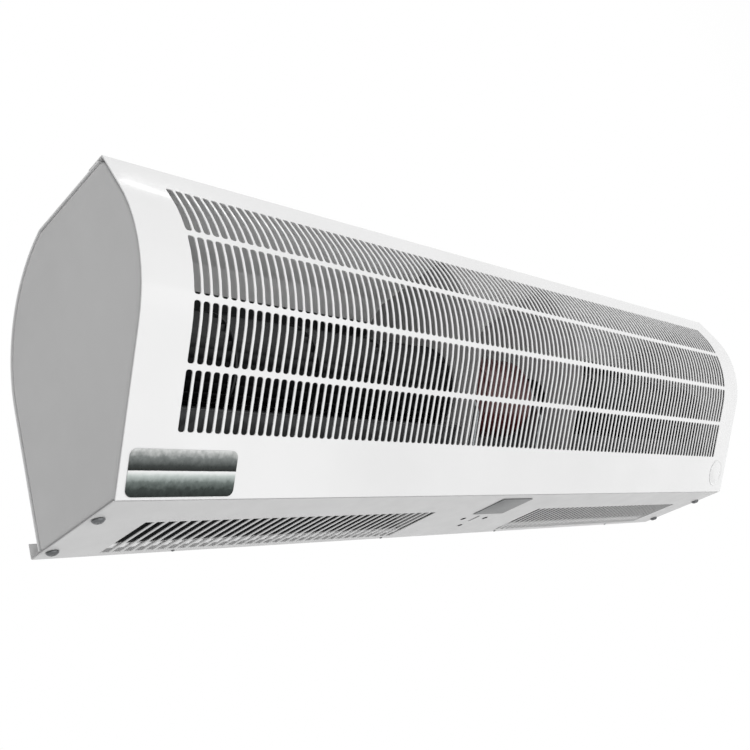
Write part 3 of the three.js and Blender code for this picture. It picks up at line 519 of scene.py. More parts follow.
def upright_slot(width, run, corner, cells, along):
    """Slot with rounded corners.

    Its points run up the right side in `along` steps, round the two upper corners in three steps each, down
    the left side and round the lower end. The cell's border has the same steps on its sides, and two corners
    between.
    """
    turns = 3
    reach = np.array([width, run]) / 2 - corner
    up = np.linspace(-reach[1], reach[1], along + 1)
    angles = np.linspace(0, math.pi / 2, turns + 1)[1:]
    arc = corner * np.stack([np.cos(angles), np.sin(angles)], axis=1) + reach
    end = np.concatenate([arc, arc[::-1] * [-1, 1]])
    right = np.stack([np.full(along + 1, width / 2), up], axis=1)
    outline = np.concatenate([right, end, -right, -end])
    across = len(end) + 1
    half = along + across
    side = np.arange(along + 1)
    corners = (across / 8, across * 5 / 8)
    upper = along + np.array(corners)
    border = [corners[1] - across, *side, *upper, *(half + side), half + upper[0]]
    return Opening(outline, lambda rows: border, cells)


def plain_opening(outline, cells, quarters=None):
    """Opening whose `quarters` are the places on its outline that face the cell's corners.

    They start at the lower right and go anticlockwise.
    """
    count = len(outline)
    low_right, high_right, high_left, low_left = quarters or np.arange(4) * count / 4

    def border(rows):
        right = np.linspace(low_right, high_right, rows + 1)
        return [*right, *np.linspace(high_left, low_left, rows + 1)]

    return Opening(outline, border, cells)


def round_opening(radius, cells):
    """Round hole in a square cell."""
    return plain_opening(circle(32, radius, -math.pi / 4), cells)


def square_opening(width, run, cells):
    """Rectangular hole."""
    half = np.array([width, run]) / 2
    return plain_opening(np.array([(1, -1), (1, 1), (-1, 1), (-1, -1)]) * half, cells)


def pierced_sheet(path, across, along, openings=(), thickness=SHEET):
    """Closed sheet on a bent path, as points and faces.

    The lattice of `across` (x) and `along` (developed length) carries the outer face, and the same lattice
    one thickness deeper the inner face. The outermost line is sunk by EDGE, which breaks the outer edge at 45
    degrees. Each opening takes one column of cells from along[first] to along[last]; a strip joins its cell's
    border to the outline, whose rim is broken in the same way.
    """
    columns, rows = len(across), len(along)
    x, t = np.meshgrid(across, along, indexing="ij")
    rim = np.zeros((columns, rows), bool)
    rim[[0, -1]] = True
    rim[:, [0, -1]] = True
    points = [path.surface(x, t, height).reshape(-1, 3) for height in (np.where(rim, -EDGE, 0.0), -thickness)]
    number = np.arange(columns * rows).reshape(columns, rows)
    deeper = columns * rows
    plain = np.ones((columns - 1, rows - 1), bool)
    faces = []
    count = 2 * deeper
    for opening in openings:
        middle = []
        border = []
        for column, first, last in opening.cells:
            plain[column, first:last] = False
            middle.append(((across[column] + across[column + 1]) / 2, (along[first] + along[last]) / 2))
            border.append([*number[column + 1, first : last + 1], *number[column, first : last + 1][::-1]])
        middle = np.array(middle)[:, None]
        border = np.array(border)
        sides = len(opening.outline)
        bevel = [(opening.grown(EDGE), 0.0), (opening.outline, -EDGE), (opening.outline, -thickness)]
        for outline, height in bevel:
            at = middle + outline
            points.append(path.surface(at[..., 0], at[..., 1], height).reshape(-1, 3))
        ring = count + np.arange(len(middle) * sides).reshape(-1, sides)
        step = len(middle) * sides
        count += 3 * step
        outer = np.concatenate([border, ring], axis=1)[:, opening.strip]
        inner = np.concatenate([border + deeper, ring + 2 * step], axis=1)[:, opening.strip[:, ::-1]]
        faces += outer.reshape(-1, 3).tolist() + inner.reshape(-1, 3).tolist()
        for upper in (ring, ring + step):
            ahead = np.roll(upper, -1, axis=1)
            faces += np.stack([upper, ahead, ahead + step, upper + step], axis=-1).reshape(-1, 4).tolist()
    cells = grid_faces(columns, rows)[plain.reshape(-1)]
    faces += cells.tolist() + (cells[:, ::-1] + deeper).tolist()
    loop = np.concatenate([number[:, 0], number[-1, 1:], number[-2::-1, -1], number[0, -2:0:-1]])
    ahead = np.roll(loop, -1)
    faces += np.stack([ahead, loop, loop + deeper, ahead + deeper], axis=-1).tolist()
    return np.concatenate(points), faces


def plain_sheet(path, half, step_angle=8.0):
    """Closed sheet on a bent path from -half to half, without openings."""
    across = [-half, EDGE - half, half - EDGE, half]
    return pierced_sheet(path, across, path.stations(step_angle))


# ------------------------------------------------------------ casing profiles


def front_path():
    """Front profile: straight lower run, large bend, straight crest strip, fold and top flange."""
    kink = CREST_LEAN + FRONT_LEAN - FRONT_SWEEP
    kink_run = 2.5 * MM
    fold_turn = math.pi / 2 - CREST_LEAN
    fold_cut = FOLD * math.tan(fold_turn / 2)
    return BentPath((0, 0), -FRONT_LEAN, [
        (FRONT_RUN, 0),
        (FRONT_RADIUS * FRONT_SWEEP - kink_run / 2, FRONT_SWEEP),
        (kink_run, kink),
        (CREST_LENGTH - kink_run / 2 - fold_cut, 0),
        (FOLD * fold_turn, fold_turn),
        (TOP_FLANGE - fold_cut, 0),
    ])


def back_path():
    """Back profile: flat top, easing into the large back bend, then the straight wall."""
    shoulder = math.pi / 2 - BACK_SWEEP
    shoulder_radius = 9 * MM
    cut = shoulder_radius * math.tan(shoulder / 2)
    start = box_of("rear_shell")[0][1]
    bend_start = DEPTH - BACK_RADIUS + BACK_RADIUS * math.cos(BACK_SWEEP)
    wall = TOP - BACK_RADIUS * math.sin(BACK_SWEEP) - FLOOR
    return BentPath((start, TOP), math.pi / 2, [
        (bend_start - start - cut, 0),
        (shoulder_radius * shoulder, shoulder),
        (BACK_RADIUS * BACK_SWEEP - cut, BACK_SWEEP),
        (wall, 0),
    ])


def casing_outline(distance):
    """Anticlockwise side view (y, z) of the casing under the front's top flange, inset by a distance.

    Its lower side lies so low that it is at FLOOR once the rim's inset is taken off.
    """
    low = FLOOR - RIM_INSET
    bend = np.linspace(FRONT_RUN, FRONT_RUN + FRONT_RADIUS * FRONT_SWEEP, 25)
    rising = front_path().at(np.concatenate([[0], bend]))[0]
    rising[0] = (-low * math.tan(FRONT_LEAN), low)
    to_top = TOP - rising[-1, 1]
    tip = rising[-1] + [to_top * math.tan(CREST_LEAN), to_top]
    angles = np.linspace(BACK_SWEEP, 0, 29)
    centre = np.array([DEPTH - BACK_RADIUS, TOP - BACK_RADIUS * math.sin(BACK_SWEEP)])
    falling = centre + BACK_RADIUS * np.stack([np.cos(angles), np.sin(angles)], axis=1)
    whole = np.concatenate([rising, [tip], falling, [(DEPTH, low)]])[::-1]
    radii = np.full(len(whole), RIM_INSET + PLATE_CORNER)
    radii[len(falling) + 1] = RIM_INSET + CREST_CORNER
    return eased(whole, radii, 5, distance)


# ------------------------------------------------------------------ materials


class Finish:
    """Builds one node material: a Principled shader with patterns on object coordinates."""

    def __init__(self, name, colour, roughness, metallic=0.0, coat=0.0, specular=0.5):
        self.material = bpy.data.materials.new(name)
        self.material.use_nodes = True
        self.tree = self.material.node_tree
        self.shader = self.tree.nodes["Principled BSDF"]
        self.where = self.tree.nodes.new("ShaderNodeTexCoord").outputs["Object"]
        self.colour = (*colour, 1.0)
        self.set("Base Color", self.colour)
        self.set("Roughness", roughness)
        self.set("Metallic", metallic)
        self.set("Coat Weight", coat)
        self.set("Coat Roughness", 0.06)
        self.set("Specular IOR Level", specular)
        self.material.diffuse_color = self.colour

    def set(self, socket, value):
        """Sets one of the shader's own sockets."""
        self.shader.inputs[socket].default_value = value

    def link(self, output, target):
        """Joins two sockets."""
        self.tree.links.new(output, target)

    def stretched(self, scale):
        """Object coordinates, scaled by each axis."""
        mapping = self.tree.nodes.new("ShaderNodeMapping")
        mapping.inputs["Scale"].default_value = scale
        self.link(self.where, mapping.inputs["Vector"])
        return mapping.outputs["Vector"]

    def noise(self, scale, detail=3.0, where=None):
        """Soft cloud pattern with this many cells a metre."""
        node = self.tree.nodes.new("ShaderNodeTexNoise")
        node.inputs["Scale"].default_value = scale
        node.inputs["Detail"].default_value = detail
        self.link(where or self.where, node.inputs["Vector"])
        return node.outputs["Fac"]

    def cells(self, scale):
        """Irregular cells, each with a value of its own."""
        node = self.tree.nodes.new("ShaderNodeTexVoronoi")
        node.inputs["Scale"].default_value = scale
        self.link(self.where, node.inputs["Vector"])
        split = self.tree.nodes.new("ShaderNodeSeparateColor")
        self.link(node.outputs["Color"], split.inputs["Color"])
        return split.outputs["Red"]

    def ramp(self, factor, stops):
        """Colours along a factor; each stop is (place, (r, g, b))."""
        node = self.tree.nodes.new("ShaderNodeValToRGB")
        elements = node.color_ramp.elements
        while len(elements) < len(stops):
            elements.new(0.5)
        for element, (place, tint) in zip(elements, stops, strict=True):
            element.position = place
            element.color = (*tint, 1.0)
        self.link(factor, node.inputs["Fac"])
        return node.outputs["Color"]

    def along(self, axis, low, high):
        """Height along an axis, 0 at `low` and 1 at `high` in the row frame."""
        split = self.tree.nodes.new("ShaderNodeSeparateXYZ")
        self.link(self.where, split.inputs["Vector"])
        spread = self.tree.nodes.new("ShaderNodeMapRange")
        spread.inputs["From Min"].default_value = low
        spread.inputs["From Max"].default_value = high
        self.link(split.outputs[axis], spread.inputs["Value"])
        return spread.outputs["Result"]

    def wavering(self, factor, pattern, share):
        """Moves a factor up and down by a share of a pattern, least where the factor is near one half."""
        away = self.sum("ABSOLUTE", self.sum("SUBTRACT", factor, 0.52))
        swing = self.sum("MULTIPLY", self.sum("SUBTRACT", pattern, 0.5), share)
        return self.sum("ADD", factor, self.sum("MULTIPLY", swing, self.sum("MULTIPLY", away, 4.0)))

    def sum(self, operation, first, second=None):
        """One sum on a socket and a socket or a number."""
        node = self.tree.nodes.new("ShaderNodeMath")
        node.operation = operation
        for socket, value in zip(node.inputs, (first, second), strict=False):
            if isinstance(value, (int, float)):
                socket.default_value = value
            elif value is not None:
                self.link(value, socket)
        return node.outputs["Value"]

    def shaded(self, factor, dark, light):
        """Varies the colour between two shares of itself."""
        tint = self.colour[:3]
        stops = [(0.3, [c * dark for c in tint]), (0.7, [min(1.0, c * light) for c in tint])]
        self.link(self.ramp(factor, stops), self.shader.inputs["Base Color"])
        return self

    def rough(self, factor, low, high):
        """Varies the roughness with a pattern."""
        spread = self.tree.nodes.new("ShaderNodeMapRange")
        spread.inputs["From Min"].default_value = 0.3
        spread.inputs["From Max"].default_value = 0.7
        spread.inputs["To Min"].default_value = low
        spread.inputs["To Max"].default_value = high
        self.link(factor, spread.inputs["Value"])
        self.link(spread.outputs["Result"], self.shader.inputs["Roughness"])
        return self

    def raised(self, factor, strength, height):
        """Raises the surface with a pattern; height in metres."""
        bump = self.tree.nodes.new("ShaderNodeBump")
        bump.inputs["Strength"].default_value = strength
        bump.inputs["Distance"].default_value = height
        self.link(factor, bump.inputs["Height"])
        self.link(bump.outputs["Normal"], self.shader.inputs["Normal"])
        return self


def powder_coat(name, tint, roughness, coat, peel):
    """Powder coat: orange peel about a millimetre across and slow changes of gloss."""
    made = Finish(name, tint, roughness, coat=coat)
    made.shaded(made.noise(9, 2), 0.975, 1.02)
    made.rough(made.noise(60, 4), roughness * 0.85, roughness * 1.2)
    return made.raised(made.noise(900, 2), peel, 0.05 * MM).material


def galvanised(name, tint, metallic):
    """Zinc-coated steel with spangle a few millimetres across."""
    made = Finish(name, tint, 0.4, metallic=metallic)
    made.shaded(made.cells(140), 0.82, 1.12)
    made.rough(made.cells(140), 0.32, 0.5)
    return made.raised(made.noise(500, 3), 0.08, 0.05 * MM).material


def black_sheet(name):
    """Black dipped sheet, also painted shade for the deep outlet duct seen through the slots."""
    made = Finish(name, (0.011, 0.012, 0.013), 0.5)
    made.shaded(made.noise(30, 4), 0.7, 1.4)
    return made.raised(made.noise(700, 3), 0.1, 0.05 * MM).material


def moulded_plastic(name, tint, roughness, specular=0.5):
    """Moulded plastic with a fine spark-eroded grain."""
    made = Finish(name, tint, roughness, specular=specular)
    made.shaded(made.noise(25, 3), 0.93, 1.05)
    made.rough(made.noise(300, 3), roughness * 0.85, roughness * 1.15)
    return made.raised(made.noise(1800, 2), 0.12, 0.03 * MM).material


def enamel(name, tint):
    """Brushed enamel of the motor, pooled a little in its texture."""
    made = Finish(name, tint, 0.32, coat=0.3)
    made.shaded(made.noise(45, 4), 0.75, 1.2)
    return made.raised(made.noise(260, 4), 0.2, 0.1 * MM).material


def turned_steel(name, tint, roughness):
    """Turned steel with fine rings along X and light stains."""
    made = Finish(name, tint, roughness, metallic=0.95)
    made.shaded(made.noise(80, 4), 0.85, 1.08)
    rings = made.noise(1, 2, made.stretched((2500, 60, 60)))
    return made.raised(rings, 0.15, 0.02 * MM).material


def rubber(name):
    """Matt black rubber with bloom."""
    made = Finish(name, (0.014, 0.014, 0.015), 0.8, specular=0.3)
    made.shaded(made.noise(60, 5), 0.8, 1.9)
    return made.raised(made.noise(900, 4), 0.25, 0.04 * MM).material


def board(name, tint):
    """Solder mask with straight tracks under it."""
    made = Finish(name, tint, 0.35, coat=0.2)
    made.shaded(made.noise(1, 1, made.stretched((90, 700, 700))), 0.6, 1.7)
    return made.material


def band_film(name, node):
    """Printed film in two bands parted by a fine white line.

    The upper band falls from silver to nearly black, the lower one from pale grey to dark grey-green, as the
    height over the sticker goes from 1 to 0.
    """
    low, high = row_box(node)
    made = Finish(name, (0.3, 0.3, 0.3), 0.3, specular=0.2)
    height = made.wavering(made.along("Z", low[2], high[2]), made.noise(260, 3), 0.16)
    stops = [
        (0.00, (0.010, 0.015, 0.013)),
        (0.16, (0.030, 0.040, 0.036)),
        (0.30, (0.13, 0.155, 0.145)),
        (0.43, (0.48, 0.53, 0.51)),
        (0.50, (0.80, 0.82, 0.81)),
        (0.535, (0.80, 0.80, 0.80)),
        (0.54, (0.004, 0.006, 0.005)),
        (0.64, (0.030, 0.036, 0.034)),
        (0.80, (0.17, 0.185, 0.18)),
        (1.00, (0.62, 0.63, 0.62)),
    ]
    made.link(made.ramp(height, stops), made.shader.inputs["Base Color"])
    return made.rough(made.noise(250, 3), 0.24, 0.36).material


def plain_film(name):
    """Brushed aluminium film, left blank."""
    made = Finish(name, (0.15, 0.153, 0.156), 0.4, metallic=0.2, specular=0.3)
    streaks = made.noise(1, 3, made.stretched((30, 2200, 30)))
    made.shaded(streaks, 0.9, 1.06)
    return made.rough(streaks, 0.3, 0.42).material


def tinted_window(name):
    """Dark red-black window that lets infrared through."""
    made = Finish(name, (0.010, 0.004, 0.005), 0.2, specular=0.15)
    return made.rough(made.noise(90, 2), 0.15, 0.28).material


FINISHES = {
    "gloss_white": lambda c: powder_coat("gloss_white_coat", c.front, 0.15, 0.4, 0.08),
    # The side coat is the white front coat darkened: painted shade on the ends.
    "side_grey": lambda c: powder_coat("side_coat_painted_shade", c.side, 0.45, 0.0, 0.14),
    # The plate coat is the white front coat darkened: painted shade on the underside.
    "plate_grey": lambda c: powder_coat("plate_coat_painted_shade", c.bottom, 0.42, 0.05, 0.14),
    "shell_grey": lambda c: powder_coat("shell_grey_coat", c.shell, 0.42, 0.05, 0.14),
    # Partitions: mid grey between the light shell and black, partly painted shade for the dark fan bays.
    "bay_shade_grey": lambda c: powder_coat("bay_shade_grey_coat", (0.42, 0.42, 0.42), 0.5, 0.0, 0.14),
    "zinc_steel": lambda c: galvanised("zinc_steel_sheet", (0.42, 0.44, 0.45), 0.85),
    # Front tongues: galvanised steel darkened to about 0.09, painted shade in the outlet duct.
    "shade_darkened_steel": lambda c: galvanised("shade_darkened_steel_sheet", (0.085, 0.088, 0.09), 0.3),
    "black_sheet": lambda c: black_sheet("dipped_black_and_shade_sheet"),
    "wheel_black": lambda c: moulded_plastic("wheel_black_plastic", c.wheel, 0.42),
    # Motor: dark red enamel, its darkness partly painted shade inside the casing.
    "motor_red": lambda c: enamel("dark_red_enamel_and_shade", c.motor),
    "steel": lambda c: turned_steel("turned_steel", (0.52, 0.53, 0.54), 0.28),
    "dark_steel": lambda c: turned_steel("dark_screw_steel", (0.17, 0.175, 0.18), 0.28),
    "rubber_black": lambda c: rubber("black_rubber"),
    "plastic_white": lambda c: moulded_plastic("white_plastic", (0.66, 0.66, 0.63), 0.45),
    "plastic_black": lambda c: moulded_plastic("black_plastic", (0.004, 0.004, 0.005), 0.7, 0.03),
    "board_green": lambda c: board("green_board", c.board),
    "silver_film": lambda c: band_film("banded_film", "front_sticker"),
    "plate_film": lambda c: plain_film("blank_plate_film"),
    "window": lambda c: tinted_window("receiver_window_tint"),
}


def finish(name):
    """The named finish, made when it is first asked for."""
    made = bpy.data.materials.get(f"finish_{name}")
    if made is None:
        made = FINISHES[name](bpy.context.scene.curtain_colours)
        made.name = f"finish_{name}"
    return made


def softened(node, name, finish_name, width=0.3 * MM):
    """Copy of a CAD node with its flat faces joined again and its edges rounded, in the node's place."""
    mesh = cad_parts[node].data.copy()
    mesh.name = name
    work = bmesh.new()
    work.from_mesh(mesh)
    bmesh.ops.remove_doubles(work, verts=work.verts, dist=1e-5)
    flat = math.radians(1.0)
    bmesh.ops.dissolve_limit(work, angle_limit=flat, verts=work.verts, edges=work.edges)
    work.to_mesh(mesh)
    work.free()
    mesh.materials.clear()
    mesh.materials.append(finish(finish_name))
    mesh.shade_smooth()
    piece = in_scene(name, mesh)
    bevel = piece.modifiers.new("Rounded edges", "BEVEL")
    bevel.width = width
    bevel.segments = 2
    bevel.limit_method = "ANGLE"
    bevel.angle_limit = math.radians(35)
    bevel.harden_normals = False
    mesh.set_sharp_from_angle(angle=math.radians(50))
    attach(piece, "housing")
    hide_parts(node)


# -------------------------------------------------------------------- pieces


def lattice_lines(*runs):
    """Sorted lattice lines without doubles, to a hundredth of a micrometre."""
    return np.unique(np.round(np.concatenate([np.atleast_1d(run) for run in runs]), 8))


def line_number(lines, value):
    """Number of the lattice line nearest to a value."""
    return int(np.argmin(np.abs(lines - value)))


def slotted_front(sizes):
    """Front panel as a pierced sheet.

    Slot k of a row stands at (k - (n - 1) / 2) times the pitch. Its cell is one pitch wide and one row pitch
    long, so neighbouring cells share their borders, and plain margins fill the rest of the sheet.
    """
    path = front_path()
    pitch = sizes.slot_pitch
    edges = (np.arange(sizes.slots + 1) - sizes.slots / 2) * pitch
    across = lattice_lines([-PANEL_HALF, EDGE - PANEL_HALF], edges, [PANEL_HALF - EDGE, PANEL_HALF])
    steps = 4
    corner = sizes.slot_corner
    starts = FIRST_ROW + np.arange(ROWS) * ROW_PITCH
    band = ROW_PITCH - ROW_LENGTH
    sides = [np.linspace(start + corner, start + ROW_LENGTH - corner, steps + 1) for start in starts]
    borders = [(start - band / 2, start + ROW_LENGTH + band / 2) for start in starts]
    last = borders[-1][1]
    stations = path.stations(10.0)
    crest = stations[stations > last + band]
    along = lattice_lines([0, EDGE], *sides, *borders, crest)
    first_column = line_number(across, edges[0])
    cells = [
        (first_column + k, line_number(along, low), line_number(along, high))
        for low, high in borders
        for k in range(sizes.slots)
    ]
    slot = upright_slot(sizes.slot_width, ROW_LENGTH, corner, cells, along=steps)
    return pierced_sheet(path, across, along, [slot], THIN_SHEET)


def inner_flange(corners):
    """Flange between the side plates, bent along these (y, z) corners."""
    half = HALF - 16 * MM
    return plain_sheet(BentPath.through(corners, FOLD), half)


def end_plate(sizes):
    """Right-hand side plate: the casing's outline carried through its rolled edge and inner flange.

    The edge turns through a quarter circle, outside and one sheet deeper inside.
    """
    angles = np.linspace(0, math.pi / 2, 7)

    def roll(distance, face, radius):
        return [(distance + radius * (1 - math.sin(a)), face - radius * (1 - math.cos(a))) for a in angles]

    inner = RIM_INSET + SHEET
    flange_end = HALF - 15 * MM
    outside = roll(RIM_INSET, HALF, sizes.edge_round)
    inside = roll(inner, HALF - SHEET, sizes.edge_round - SHEET)
    border = outside[0][0] + MM
    section = [
        (border, HALF),
        *outside,
        (RIM_INSET, flange_end),
        (inner, flange_end),
        *inside[::-1],
        (border, HALF - SHEET),
    ]
    return moulded(casing_outline, section, lambda u, v, h: (h, u, v))


def outlet_plate():
    """Bottom plate as a pierced sheet: lip on the wall, fold, flat with outlets, controls and screw holes."""
    path = BentPath((WALL, LIP_TOP), math.pi, [
        (LIP_TOP - FOLD, 0),
        (FOLD * math.pi / 2, math.pi / 2),
        (WALL - FOLD - box_of("bottom_outlet_plate")[0][1], 0),
    ])
    flat = path.knots[2]

    def back_to_along(y):
        return flat + WALL - FOLD - y

    pitch = (OUTLET_OUTER - OUTLET_WIDTH - OUTLET_INNER) / (OUTLET_COUNT - 1)
    starts = OUTLET_INNER + np.arange(OUTLET_COUNT) * pitch
    land = (pitch - OUTLET_WIDTH) / 2
    edges = np.append(starts - land, starts[-1] + OUTLET_WIDTH + land)
    button = centre_of("right_button")
    window_low, window_high = box_of("receiver_window")
    lamp = centre_of("status_lamp")
    screw = centre_of("right_front_screw")
    screw_rows = [centre_of(f"right_{row}_screw")[1] for row in ("front", "rear")]
    lens_half = LENS[0] + GAP
    lens_run = 2 * (LENS[1] + GAP)
    hole = 3.1 * MM
    lamp_hole = 2.85 * MM
    screw_hole = 2.6 * MM
    window_cell = 3.2 * MM
    cell = hole + MM
    screw_cell = screw_hole + MM
    fittings = [window_cell, button[0] - cell, button[0] + cell, screw[0] - screw_cell, screw[0] + screw_cell]
    right = np.concatenate([edges, fittings, [HALF - EDGE, HALF]])
    lamp_lines = [lamp[1] - cell, lamp[1] + cell]
    middle = (window_low[1] + window_high[1]) / 2
    window_lines = [middle - lens_run / 2 - MM, middle + lens_run / 2 + MM]
    button_lines = [button[1] - cell, button[1] + cell]
    screw_lines = [row + side * screw_cell for row in screw_rows for side in (-1, 1)]
    outlet_ends = (OUTLET_BACK + land, OUTLET_FRONT - land)
    rows = np.array([*outlet_ends, *lamp_lines, *window_lines, *button_lines, *screw_lines])
    across = lattice_lines(-right, right)
    along = lattice_lines(path.stations(15.0), back_to_along(rows))

    def cell_at(x, y_high, y_low):
        column = line_number(across, x)
        return column, line_number(along, back_to_along(y_high)), line_number(along, back_to_along(y_low))

    outlets = [cell_at(edge, *outlet_ends) for edge in (*edges[:-1], *(-edges[1:]))]
    buttons = [cell_at(side * button[0] - cell, *button_lines[::-1]) for side in (-1, 1)]
    screws = [
        cell_at(side * screw[0] - screw_cell, row + screw_cell, row - screw_cell)
        for side in (-1, 1)
        for row in screw_rows
    ]
    openings = [
        square_opening(OUTLET_WIDTH, OUTLET_BACK - OUTLET_FRONT, outlets),
        square_opening(2 * lens_half, lens_run, [cell_at(-window_cell, *window_lines[::-1])]),
        round_opening(hole, buttons),
        round_opening(lamp_hole, [cell_at(-window_cell, *lamp_lines[::-1])]),
        round_opening(screw_hole, screws),
    ]
    return pierced_sheet(path, across, along, openings, THIN_SHEET)


def hanging_rail():
    """Hat-shaped rail with keyholes in its crown, as a pierced sheet."""
    low, high = box_of("mounting_rail")
    sheet = 2 * MM
    crown = 18 * MM
    back = low[1]
    middle = (low[2] + high[2]) / 2
    path = BentPath.through([
        (back + sheet, high[2]), (back + sheet, middle + crown), (WALL, middle + crown),
        (WALL, middle - crown), (back + sheet, middle - crown), (back + sheet, low[2]),
    ], 1.5 * MM)
    half = high[0]
    keyholes = np.array([120, half / MM - 50]) * MM
    reach = 8 * MM
    centre_along = path.knots[-1] / 2
    lines = np.concatenate([keyholes - reach, keyholes + reach, [half - EDGE, half]])
    across = lattice_lines(-lines, lines)
    cell = 15 * MM
    along = lattice_lines(path.stations(12.0), [centre_along - cell, centre_along + cell])
    radius = 5.5 * MM
    slot = radius / 2
    drop = 6 * MM
    angles = np.radians(np.concatenate([np.linspace(-45, 225, 19), np.linspace(240, 300, 5)]))
    head = radius * np.stack([np.cos(angles), np.sin(angles)], axis=1) + [0, drop]
    top = np.radians(np.linspace(180, 360, 9))
    neck = slot * np.stack([np.cos(top), np.sin(top)], axis=1) - [0, drop + 3 * MM]
    outline = np.concatenate([head[:19], neck])
    ends = line_number(along, centre_along - cell), line_number(along, centre_along + cell)
    cells = [(line_number(across, side * x - reach), *ends) for x in keyholes for side in (-1, 1)]
    opening = plain_opening(outline, cells, [-2.0, 4.5, 13.5, 22.0])
    return pierced_sheet(path, across, along, [opening], thickness=sheet)


def wheel(sizes, side):
    """Cross-flow wheel on one side of the motor.

    A blade's middle line runs from the rim inwards, swept back by a power of the way inwards. Its section
    stands off that line by half the thickness, times the square root of 1 - w^4 as w goes from -1 to 1 along
    the blade. Each blade is that section carried along X, and flat rings join the blades.
    """
    low, high = box_of(f"{side}_impeller")
    radius = (high[2] - low[2]) / 2
    inner = radius - 11 * MM
    w = np.linspace(-1, 1, 9)
    line_radius = inner + (radius - MM - inner) * (w + 1) / 2
    sweep = math.radians(20) * (1 - (w + 1) / 2) ** 1.4
    stand = sizes.blade_thickness / 2 * np.sqrt(np.clip(1 - w**4, 0.0, 1))
    turn = np.concatenate([sweep + stand / line_radius, (sweep - stand / line_radius)[-2:0:-1]])
    section_radius = np.concatenate([line_radius, line_radius[-2:0:-1]])
    blade = np.arange(sizes.blades) * 2 * math.pi / sizes.blades
    angle = blade[:, None, None] + turn[None, None, :]
    ends = np.array([low[0] + MM, high[0] - MM])[None, :, None]
    x = np.broadcast_to(ends, (sizes.blades, 2, len(turn)))
    span = np.broadcast_to(section_radius, x.shape)
    points = np.stack([x, FAN[1] + span * np.cos(angle), FAN[2] + span * np.sin(angle)], axis=-1)
    size = len(turn)
    ends = [tuple(range(size))[::-1], tuple(range(size, 2 * size))]
    one = [*grid_faces(2, size, wrap_columns=True).tolist(), *ends]
    parts = [(section, one) for section in points]
    disc = 2 * MM
    edge = 0.4 * MM
    for x0 in (low[0], high[0] - disc):
        profile = rounded([(0, x0), (radius, x0), (radius, x0 + disc), (0, x0 + disc)], edge, 2)
        parts.append(turned(profile, "X", (0, FAN[1], FAN[2]), 64))
    bays = 4
    for x0 in np.linspace(low[0], high[0] - disc, bays + 1)[1:-1]:
        ring = [(inner - 1.5 * MM, x0), (radius, x0), (radius, x0 + disc), (inner - 1.5 * MM, x0 + disc)]
        parts.append(turned_ring(rounded(ring, edge, 2, closed=True), "X", (0, FAN[1], FAN[2]), 64))
    return merged(parts)


def fan_centred(profile):
    """Profile (radius, x) turned about the fan's axis, with its corners broken."""
    return turned(rounded(profile, 0.5 * MM, 3), "X", (0, FAN[1], FAN[2]))


def spindle(node, radius):
    """Round bar along the fan's axis, as long as its CAD node, with broken ends."""
    low, high = box_of(node)
    return fan_centred([(0, low[0]), (radius, low[0]), (radius, high[0]), (0, high[0])])


def sleeve(node, bore, edge=0.6 * MM, waist=0.0):
    """Ring about the fan's axis in its CAD node's box, with a waist of the given depth round its middle."""
    low, high = box_of(node)
    radius = (high[2] - low[2]) / 2
    quarter = (high[0] - low[0]) / 4
    profile = [(bore, low[0]), (radius, low[0])]
    if waist:
        profile += [(radius, low[0] + quarter), (radius - waist, low[0] + 1.3 * quarter)]
        profile += [(radius - waist, high[0] - 1.3 * quarter), (radius, high[0] - quarter)]
    profile += [(radius, high[0]), (bore, high[0])]
    return turned_ring(rounded(profile, edge, 3, closed=True), "X", (0, FAN[1], FAN[2]))


def screw_head(at, radius, height, lengthwise, recess=0.9 * MM):
    """Pan head below z = 0 with a cross recess, and its shank above.

    The head's face is a height over (r, angle): the dome falls with the fourth power of r / radius, and the
    recess is sunk where the distance to either bar of the cross is less than the bar's half width.
    """
    sides = 48
    droop = 0.72  # share of the dome's height that it has lost at its rim
    r = np.concatenate([np.linspace(0, 0.62, 12), np.linspace(0.66, 0.97, 6), [1.0]]) * radius
    angle = np.arange(sides) * 2 * math.pi / sides
    r, angle = np.meshgrid(r, angle, indexing="ij")
    across, along = r * np.cos(angle), r * np.sin(angle)
    bar = radius * 0.13
    reach = radius * 0.56
    first = np.maximum(np.abs(across) - bar, np.abs(along) - reach)
    second = np.maximum(np.abs(along) - bar, np.abs(across) - reach)
    inside = np.clip(-np.minimum(first, second) / (0.1 * radius) + 0.3, 0, 1)
    dome = height * (1 - droop * (r / radius) ** 4)
    face = -dome + recess * inside
    points = np.stack([at[0] + across, at[1] + along, at[2] + face], axis=-1)
    rows = len(points)
    shank = radius * 0.47
    rim = (droop - 1) * height
    rest = [(radius, rim / 5), (radius * 0.98, 0), (shank, 0), (shank, lengthwise), (0, lengthwise)]
    tail, _ = turned(rest, "Z", at, sides)
    whole = np.concatenate([points.reshape(-1, 3), tail])
    return whole, grid_faces(rows + len(rest), sides, wrap_columns=True).tolist()


def on_front(x, along):
    """Place for flat pieces on the front's straight lower run: u along X, v up the slope, height outwards."""
    point, normal = front_path().at(np.array(along))
    up = np.array([-math.sin(FRONT_LEAN), math.cos(FRONT_LEAN)])

    def place(u, v, h):
        y = point[0] + up[0] * v + normal[0] * (h + GAP / 2)
        z = point[1] + up[1] * v + normal[1] * (h + GAP / 2)
        return x + u, y, z

    return place


# ----------------------------------------------------------------- operators


